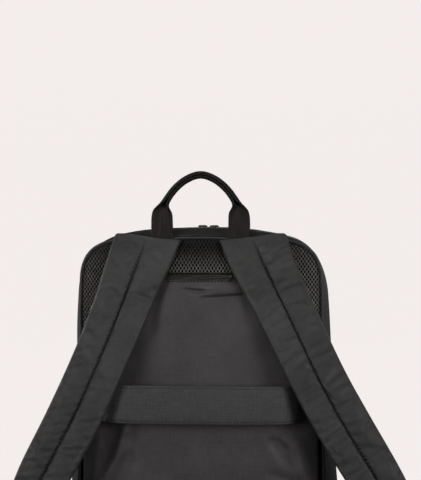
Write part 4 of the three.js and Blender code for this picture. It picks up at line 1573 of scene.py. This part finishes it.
@dataclass
class GrabHandle:
    """The grab handle: one length of webbing, flat at both bases and rolled into a slit tube for the grip."""

    y: float = -58.6
    thick: float = 2.2
    rows: int = 170
    columns: int = 34

    def build(self) -> list[bpy.types.Object]:
        """Builds the handle."""
        handle = add_piece("grab_handle_webbing", self.surface(), HANDLE_CLOTH, ("grab_handle",))
        return [handle]

    def surface(self) -> Patch:
        """A section that is an arc, whose turn grows from none to nearly a whole one, carried over the arch.

        A point w across the webbing lies at the angle turn times w over the width. Its offset in the arch's
        plane is the radius times the sine, and towards the wearer the radius times one minus the cosine.

        Returns:
            The closed webbing.
        """
        route = mirrored(HANDLE_ROUTE)
        dense = np.linspace(0.0, 1.0, 800)
        along = lengths_along(rows_at(route, dense)[:, :2])
        share = np.interp(np.linspace(0.0, along[-1], self.rows), along, dense)
        row = rows_at(route, share)
        path = upright(row[:, :2], self.y)
        wide, turns = row[:, 2], np.maximum(row[:, 3], 0.004)
        deep_axis = np.array(TO_FRONT)
        wide_axis = unit(np.cross(unit(np.gradient(path, axis=0)), deep_axis))
        half = self.columns // 2
        across = np.concatenate([np.linspace(-0.5, 0.5, half), np.linspace(0.5, -0.5, half)])
        layer = np.repeat([1.0, -1.0], half) * (0.45 + 0.55 * rounded_edge(0.5 - np.abs(across), 0.06))
        whole = 2.0 * math.pi * turns
        radius = (wide / whole)[:, None]
        angle = whole[:, None] * across[None]
        offset = radius + layer[None] * self.thick / 2.0
        in_plane = offset * np.sin(angle)
        depth = radius - offset * np.cos(angle)
        depth = depth - depth.mean(axis=1, keepdims=True)
        points = path[:, None] + wide_axis[:, None] * in_plane[..., None] - deep_axis * depth[..., None]
        return tube(points)


class Side(Enum):
    """The two shoulder straps, as the sign of their place along X."""

    LEFT = -1.0
    RIGHT = 1.0

    @property
    def word(self) -> str:
        """The side's name in the names of pieces."""
        return self.name.lower()


@dataclass
class StrapFrames:
    """Sections along a strap: their middles, axes and sizes."""

    middle: Array
    along: Array
    across: Array
    outward: Array
    wide: Array
    thick: Array


def strap_frames(side: Side, share: Array) -> StrapFrames:
    """The sections of a strap: the route's points with the swing added, and widths that lie level.

    Each width is turned by yaw and made square to the route as far as skew says.

    Args:
        side: which strap it is.
        share: places from 0 at its top to 1 at its low end.

    Returns:
        The sections.
    """

    def middles(at: Array) -> Array:
        """The route's points with the swing added."""
        place = rows_at(STRAP_ROUTE, at)[:, :3].copy()
        place[:, 0] = side.value * place[:, 0] + STRAP_SWING * smooth(0.0, 1.0, at)
        return place

    row = rows_at(STRAP_ROUTE, share)
    along = unit(middles(np.minimum(share + 0.01, 1.0)) - middles(np.maximum(share - 0.01, 0.0)))
    yaw = np.radians(row[:, 6])
    level = np.stack([side.value * np.cos(yaw), np.sin(yaw), np.zeros(len(yaw))], axis=1)
    slip = (row[:, 5] - 1.0) * np.sum(level * along, axis=1)
    across = unit(level + along * slip[:, None])
    outward = unit(side.value * np.cross(along, across))
    return StrapFrames(middles(share), along, across, outward, row[:, 3], row[:, 4])


@dataclass
class ShoulderStrap:
    """A padded strap: two crowned channels beside a sewn line, with puckers that the seams draw in."""

    side: Side
    slack: float
    pucker: float  # how far the cloth may move as it settles
    rows: int = 165
    front_columns: int = 49
    back_columns: int = 15
    edge_band: float = 7.5
    seam_from_z: float = 404.0
    groove: float = 4.0
    front_share: float = 0.36  # of the thickness in front of the route, without the crowns
    back_share: float = 0.46
    tip: float = 4.0  # how far the outer corner of the top end stands up

    CREASES = {
        Side.LEFT: (
            Crease((24.0, 390.0), (8.0, 373.0), 2.4, -0.9),
            Crease((-8.0, 352.0), (-26.0, 346.0), 3.5, -0.9, 0.5),
            Crease((-10.0, 330.0), (-27.0, 318.0), 3.5, -0.8, 0.5),
            Crease((-6.0, 312.0), (-24.0, 309.0), 3.0, 0.7),
        ),
        Side.RIGHT: (
            Crease((11.0, 394.5), (22.0, 403.5), 2.2, -1.0),
            Crease((-4.0, 372.0), (-26.0, 360.0), 3.0, -0.8, 0.4),
        ),
    }

    def build(self) -> list[bpy.types.Object]:
        """Builds the strap, lets its cloth settle and sews its middle line."""
        points, sewn, freedom = self.surface()
        word = self.side.word
        node = f"shoulder_strap_{word}"
        strap = add_piece(f"{node}_pad", tube(points), STRAP_CLOTH, (node,))
        settle(strap, sewn.ravel(), pressure=3.0, slack=self.slack, furthest=freedom.ravel(), frames=24)
        soften(strap)
        # the seam piece holds the stitches and the dark notches of painted pucker shade
        seam = add_piece(f"{node}_stitches", self.seam(), DARK_THREAD)
        return [strap, seam]

    def shares(self) -> Array:
        """Places along the strap an even distance apart."""
        dense = np.linspace(0.0, 1.0, 900)
        along = lengths_along(strap_frames(self.side, dense).middle)
        return np.interp(np.linspace(0.0, along[-1], self.rows), along, dense)

    def sewn_share(self, z: Array) -> Array:
        """How far the padding and its sewn line have begun at a height, from 0 above to 1 below."""
        return smooth(self.seam_from_z + 12.0, self.seam_from_z - 14.0, z)

    def sunk(self, frames: StrapFrames) -> Array:
        """How deep the sewn line lies: the groove, less where the padding is thinner or only begins."""
        return self.groove * self.sewn_share(frames.middle[:, 2]) * frames.thick / STRAP_ROUTE[:, 4].max()

    def surface(self) -> tuple[Array, Array, Array]:
        """The strap's closed sections: a rounded edge, two sine crowns beside the groove, and a flatter back.

        Returns:
            Rows by columns of points, which of them are sewn down, and how far each may move as it settles.
        """
        frames = strap_frames(self.side, self.shares())
        t = np.linspace(0.0, 1.0, self.front_columns // 2 + 1)
        half = 0.2 * t + 0.15 * (1.0 - np.cos(math.pi * t))
        front = np.concatenate([-half[:0:-1], half])
        back_t = np.linspace(0.0, 1.0, self.back_columns + 2)[1:-1]
        across = np.concatenate([front, 0.5 * np.cos(math.pi * back_t)])
        is_front = np.arange(len(across)) < self.front_columns
        x = across[None] * frames.wide[:, None]
        edge = frames.wide[:, None] / 2.0 - np.abs(x)
        thick = frames.thick[:, None]
        rounding = rounded_edge(edge, 3.6)
        padded = self.sewn_share(frames.middle[:, 2])[:, None]
        span = frames.wide[:, None] / 2.0 - self.edge_band
        channel = np.clip(np.abs(x) / span, 0.0, 1.0)
        crown = 0.11 * thick * np.sin(math.pi * channel) ** 0.6 * padded
        centre = self.sunk(frames)[:, None] * np.exp(-np.abs(x) / 1.1)
        height = rounding * (self.front_share * thick + crown - centre)
        z = frames.middle[:, 2:3] + x * frames.across[:, 2:3]
        folds = sum(crease.rise(x, z) for crease in self.CREASES[self.side])
        along = lengths_along(frames.middle)[:, None]
        seed = 61 if self.side is Side.LEFT else 62
        tiny = Ripples(seed, 9.0, 26.0, 0.22, turn=0.6).rise(np.broadcast_to(along, x.shape), x) * padded
        height = height + (folds + tiny) * rounding
        height = np.where(is_front[None], height, -self.back_share * thick * rounding)
        points = frames.middle[:, None] + frames.across[:, None] * x[..., None]
        points = points + frames.outward[:, None] * height[..., None]
        tip = self.tip * smooth(0.25, 0.5, across)[None] * np.exp(-along / 7.0)
        points = points - frames.along[:, None] * tip[..., None]
        sewn = (~is_front[None]) | (edge < 2.6) | ((np.abs(x) < 1.0) & (padded > 0.4))
        sewn[:4] = sewn[-4:] = True
        freedom = np.broadcast_to(self.pucker * (0.2 + 0.8 * padded), x.shape)
        return points, sewn, freedom

    def seam(self) -> Patch:
        """Stitches at the bottom of the sewn line, and beside it a row of dark notches: painted shade for the
        puckers that the stitches draw up.
        """
        dense = strap_frames(self.side, np.linspace(0.0, 0.985, 500))
        sunk = self.sunk(dense)[:, None]
        path = dense.middle + dense.outward * (self.front_share * dense.thick[:, None] - sunk)
        keep = dense.middle[:, 2] < self.seam_from_z + 4.0
        # the dark notches beside the seam are painted shade between the puckers, not thread
        beside = path + dense.across * 2.0 + dense.outward * (0.95 * sunk - 1.6)
        drawn = stitches(beside[keep], dense.outward[keep], pitch=4.5, length=2.1, thick=2.6)
        return joined([stitches(path[keep], dense.outward[keep]), drawn])


@dataclass
class StrapEnd:
    """A strap's low end: a folded tab, a ladder lock and the webbing through it to the base."""

    side: Side
    wide: float = 25.0
    thick: float = 1.6
    bend: float = 2.85
    tail: float = 34.0
    lock_drop: float = 4.0
    lock_long: float = 26.0
    upper_slot: float = 10.5
    lower_slot: float = 22.5

    def build(self) -> list[bpy.types.Object]:
        """Builds the tab, the lock and the webbing."""
        word = self.side.word
        lock = bevelled_copy(f"ladder_lock_{word}", f"ladder_lock_{word}_body", BLACK_PLASTIC, 0.7)
        made = [lock]
        for node, route, samples in (
            (f"lock_tab_{word}", self.tab_route(), 60),
            (f"strap_webbing_{word}", self.webbing_route(), 260),
        ):
            points = self.strip(route, samples)
            piece = add_piece(f"{node}_tape", tube(points), WEBBING_CLOTH, (node,))
            made.append(piece)
        return made

    def placed(self, down: Array, front: Array) -> Array:
        """Rows of a middle and a width direction, from distances along and outward at the strap's end."""
        end = strap_frames(self.side, np.array([1.0]))
        middle = end.middle + np.outer(down, end.along[0]) + np.outer(front, end.outward[0])
        return np.concatenate([middle, np.broadcast_to(end.across, middle.shape)], axis=1)

    def half_turn(self, at: float, opens_down: bool) -> tuple[Array, Array]:
        """A half circle of webbing round a bar, as distances along and outward."""
        turn = np.linspace(0.0, math.pi, 7)
        sense = -1.0 if opens_down else 1.0
        return at + sense * self.bend * np.sin(turn), self.bend * np.cos(turn)

    def tab_route(self) -> Array:
        """From the strap's front edge round the lock's upper bar and back."""
        down, front = self.half_turn(self.upper_slot - self.bend, False)
        return self.placed(np.r_[GAP, down, GAP], np.r_[self.bend, front, -self.bend])

    def webbing_route(self) -> Array:
        """From the loose tail round the lock's lower bar, then down to the floor and in to the base."""
        down, front = self.half_turn(self.lower_slot + self.bend, True)
        lock_end = self.lock_drop + self.lock_long
        down = np.r_[lock_end + self.tail, lock_end + self.tail / 2.0, down, lock_end, lock_end + 5.0]
        front = np.r_[self.bend + GAP, self.bend + 1.0, front, -self.bend - GAP, -self.bend - 2.0 * GAP]
        x, yaw = WEBBING_ROUTE[:, 0], np.radians(WEBBING_ROUTE[:, 3])
        shift = STRAP_SWING * smooth(WEBBING_ROUTE[-1, 0], STRAP_ROUTE[-1, 0], x) ** 2
        low = np.stack([
            self.side.value * x + shift, WEBBING_ROUTE[:, 1], WEBBING_ROUTE[:, 2],
            self.side.value * np.cos(yaw), np.sin(yaw), np.zeros(len(x)),
        ], axis=1)
        return np.concatenate([self.placed(down, front), low])

    def strip(self, route: Array, samples: int) -> Array:
        """Webbing along a route: a flat rounded section on the route's width and square to it."""
        steps = lengths_along(route[:, :3])
        even = np.interp(np.linspace(0.0, steps[-1], samples), steps, np.linspace(0.0, 1.0, len(route)))
        row = rows_at(route, even)
        path, wide_way = row[:, :3], unit(row[:, 3:])
        along = unit(np.gradient(path, axis=0))
        side = unit(wide_way - along * np.sum(wide_way * along, axis=1, keepdims=True))
        profile = rounded_profile(self.wide, self.thick, 0.25, 24)
        out = np.cross(side, along)
        return path[:, None] + side[:, None] * profile[None, :, :1] + out[:, None] * profile[None, :, 1:]


# The studio


@dataclass(frozen=True)
class Softbox:
    """A square soft light."""

    name: str
    at: Place
    towards: Place
    watts: float
    side: float = 0.7
    spread: float = 50.0  # the angle it shines over, in degrees

    def build(self) -> None:
        """Adds the light to the scene."""
        data = bpy.data.lights.new(self.name, "AREA")
        data.shape = "SQUARE"
        data.size = self.side
        data.energy = self.watts
        data.spread = math.radians(self.spread)
        light = bpy.data.objects.new(self.name, data)
        light.location = self.at
        way = np.array(self.towards) - np.array(self.at)
        tilt = math.atan2(math.hypot(way[0], way[1]), -way[2])
        light.rotation_euler = (tilt, 0.0, math.atan2(way[1], way[0]) - math.pi / 2.0)
        bpy.context.scene.collection.objects.link(light)


@dataclass
class Studio:
    """A pale floor that curves up into a backdrop, soft lights and the camera at the photograph's angle."""

    camera_at: Place = (0.11653, -1.56251, 0.4141)
    camera_turn: float = 4.0  # degrees from looking along +Y
    lens: float = 99.03
    sensor: float = 36.0
    pale: Colour = (0.9, 0.848, 0.839)
    dimmed: float = 0.05  # share of the backdrop's glow that lights the pack
    matt: float = 0.02  # share of the light on the paper that it throws back
    glow: float = 0.999
    shadow: float = 0.5  # how much of the glow the paper loses where the pack stands on it
    shadow_reach: float = 0.4
    floor_flat: float = 3200.0
    floor_bend: float = 1200.0
    wall_high: float = 4500.0
    floor_gap: float = 0.6  # how far the floor lies below the pack

    LIGHTS = (
        Softbox("side_right", (1.15, -1.25, 0.5), (0.1, 0.0, 0.25), 1.28),
        Softbox("side_left", (-1.15, -1.25, 0.5), (-0.1, 0.0, 0.25), 1.15),
        Softbox("above", (-0.3, -1.3, 1.5), (0.0, 0.0, 0.38), 0.09, side=0.3, spread=14.0),
        Softbox("top", (0.0, 0.7, 1.6), (0.0, 0.0, 0.4), 0.11, side=0.9, spread=60.0),
        Softbox("rear_right", (1.4, 1.25, 0.7), (0.12, 0.0, 0.25), 0.55),
        Softbox("rear_left", (-1.7, 0.75, 0.7), (-0.12, 0.0, 0.25), 1.2),
        Softbox("behind", (0.0, 2.2, 0.5), (0.0, 0.0, 0.22), 1.7),
    )

    def build(self) -> None:
        """Builds the camera, the backdrop, the world and the lights."""
        bpy.context.scene.view_settings.view_transform = "Standard"
        self.camera()
        self.backdrop()
        self.world()
        for light in self.LIGHTS:
            light.build()

    def camera(self) -> None:
        """The camera, level, with its long side as the picture's height."""
        data = bpy.data.cameras.new("camera")
        data.sensor_fit = "AUTO"
        data.sensor_width = self.sensor
        data.lens = self.lens
        data.clip_end = 30.0
        camera = bpy.data.objects.new("camera", data)
        camera.location = self.camera_at
        camera.rotation_euler = (math.radians(90.0), 0.0, math.radians(self.camera_turn))
        bpy.context.scene.collection.objects.link(camera)
        bpy.context.scene.camera = camera

    def backdrop(self) -> None:
        """The floor, which turns up into a round wall: a grid whose squares become rings of that section."""
        turn = np.linspace(0.0, math.pi / 2.0, 24)
        flat, bend = self.floor_flat, self.floor_bend
        section = np.stack([
            np.r_[0.0, flat + bend * np.sin(turn), flat + bend],
            np.r_[0.0, bend - bend * np.cos(turn), self.wall_high],
        ], axis=1)
        a, b = np.meshgrid(np.linspace(-1.0, 1.0, 81), np.linspace(-1.0, 1.0, 81))
        along = lengths_along(section)
        at = np.maximum(np.abs(a), np.abs(b)) * along[-1]
        far, up = (np.interp(at, along, section[:, k]) for k in range(2))
        angle = np.arctan2(b, a)
        points = np.stack([far * np.cos(angle), far * np.sin(angle), up - self.floor_gap], axis=-1)
        patch = grid_patch(points).turned_out(np.array([0.0, 0.0, -3000.0]))
        mesh = bpy.data.meshes.new("backdrop")
        mesh.from_pydata((patch.points * MM).tolist(), [], patch.quads.tolist())
        mesh.shade_smooth()
        mesh.materials.append(self.paper())
        floor = bpy.data.objects.new("backdrop", mesh)
        bpy.context.scene.collection.objects.link(floor)

    def paper(self) -> bpy.types.Material:
        """Pale paper: bright to the camera, darker under the pack, and throwing little light on it."""
        made = bpy.data.materials.new("backdrop_paper")
        made.use_nodes = True
        sketch = Sketch(made.node_tree)
        shader = made.node_tree.nodes["Principled BSDF"]
        seen = sketch.add("ShaderNodeLightPath").outputs["Is Camera Ray"]
        glow = sketch.add("ShaderNodeMix", {0: seen}, data_type="RGBA")
        glow.inputs[6].default_value = (*(self.dimmed * part for part in self.pale), 1.0)
        glow.inputs[7].default_value = (*self.pale, 1.0)
        sketch.put(shader, "Emission Color", glow.outputs[2])
        reach = {"Distance": self.shadow_reach}
        clear = sketch.add("ShaderNodeAmbientOcclusion", reach, samples=16).outputs["AO"]
        bright = sketch.maths("MULTIPLY_ADD", clear, self.shadow, self.glow - self.shadow)
        sketch.put(shader, "Emission Strength", bright)
        shader.inputs["Base Color"].default_value = (*(self.matt * part for part in self.pale), 1.0)
        shader.inputs["Roughness"].default_value = 0.9
        shader.inputs["Specular IOR Level"].default_value = 0.0
        return made

    def world(self) -> None:
        """An even pale light from all round."""
        world = bpy.data.worlds.new("studio")
        world.use_nodes = True
        light = world.node_tree.nodes["Background"]
        light.inputs["Color"].default_value = (1.0, 0.98, 0.97, 1.0)
        light.inputs["Strength"].default_value = 0.02
        bpy.context.scene.world = world


def main() -> None:
    """Builds the studio and every sub-assembly, and logs how many pieces each one made."""
    logging.basicConfig(level=logging.INFO, format="%(message)s")
    outline = BodyOutline()
    pad = PadShape(outline)
    Studio().build()
    parts = [
        BackPad(pad), BackPocket(pad), TrolleyBand(), BagShell(outline), MainZip(outline), GrabHandle(),
        ShoulderStrap(Side.LEFT, 0.03, 1.3), ShoulderStrap(Side.RIGHT, 0.05, 1.6),
        StrapEnd(Side.LEFT), StrapEnd(Side.RIGHT),
    ]
    for part in parts:
        made = part.build()
        LOG.info("%s: %d pieces", type(part).__name__, len(made))


if __name__ == "__main__":
    main()
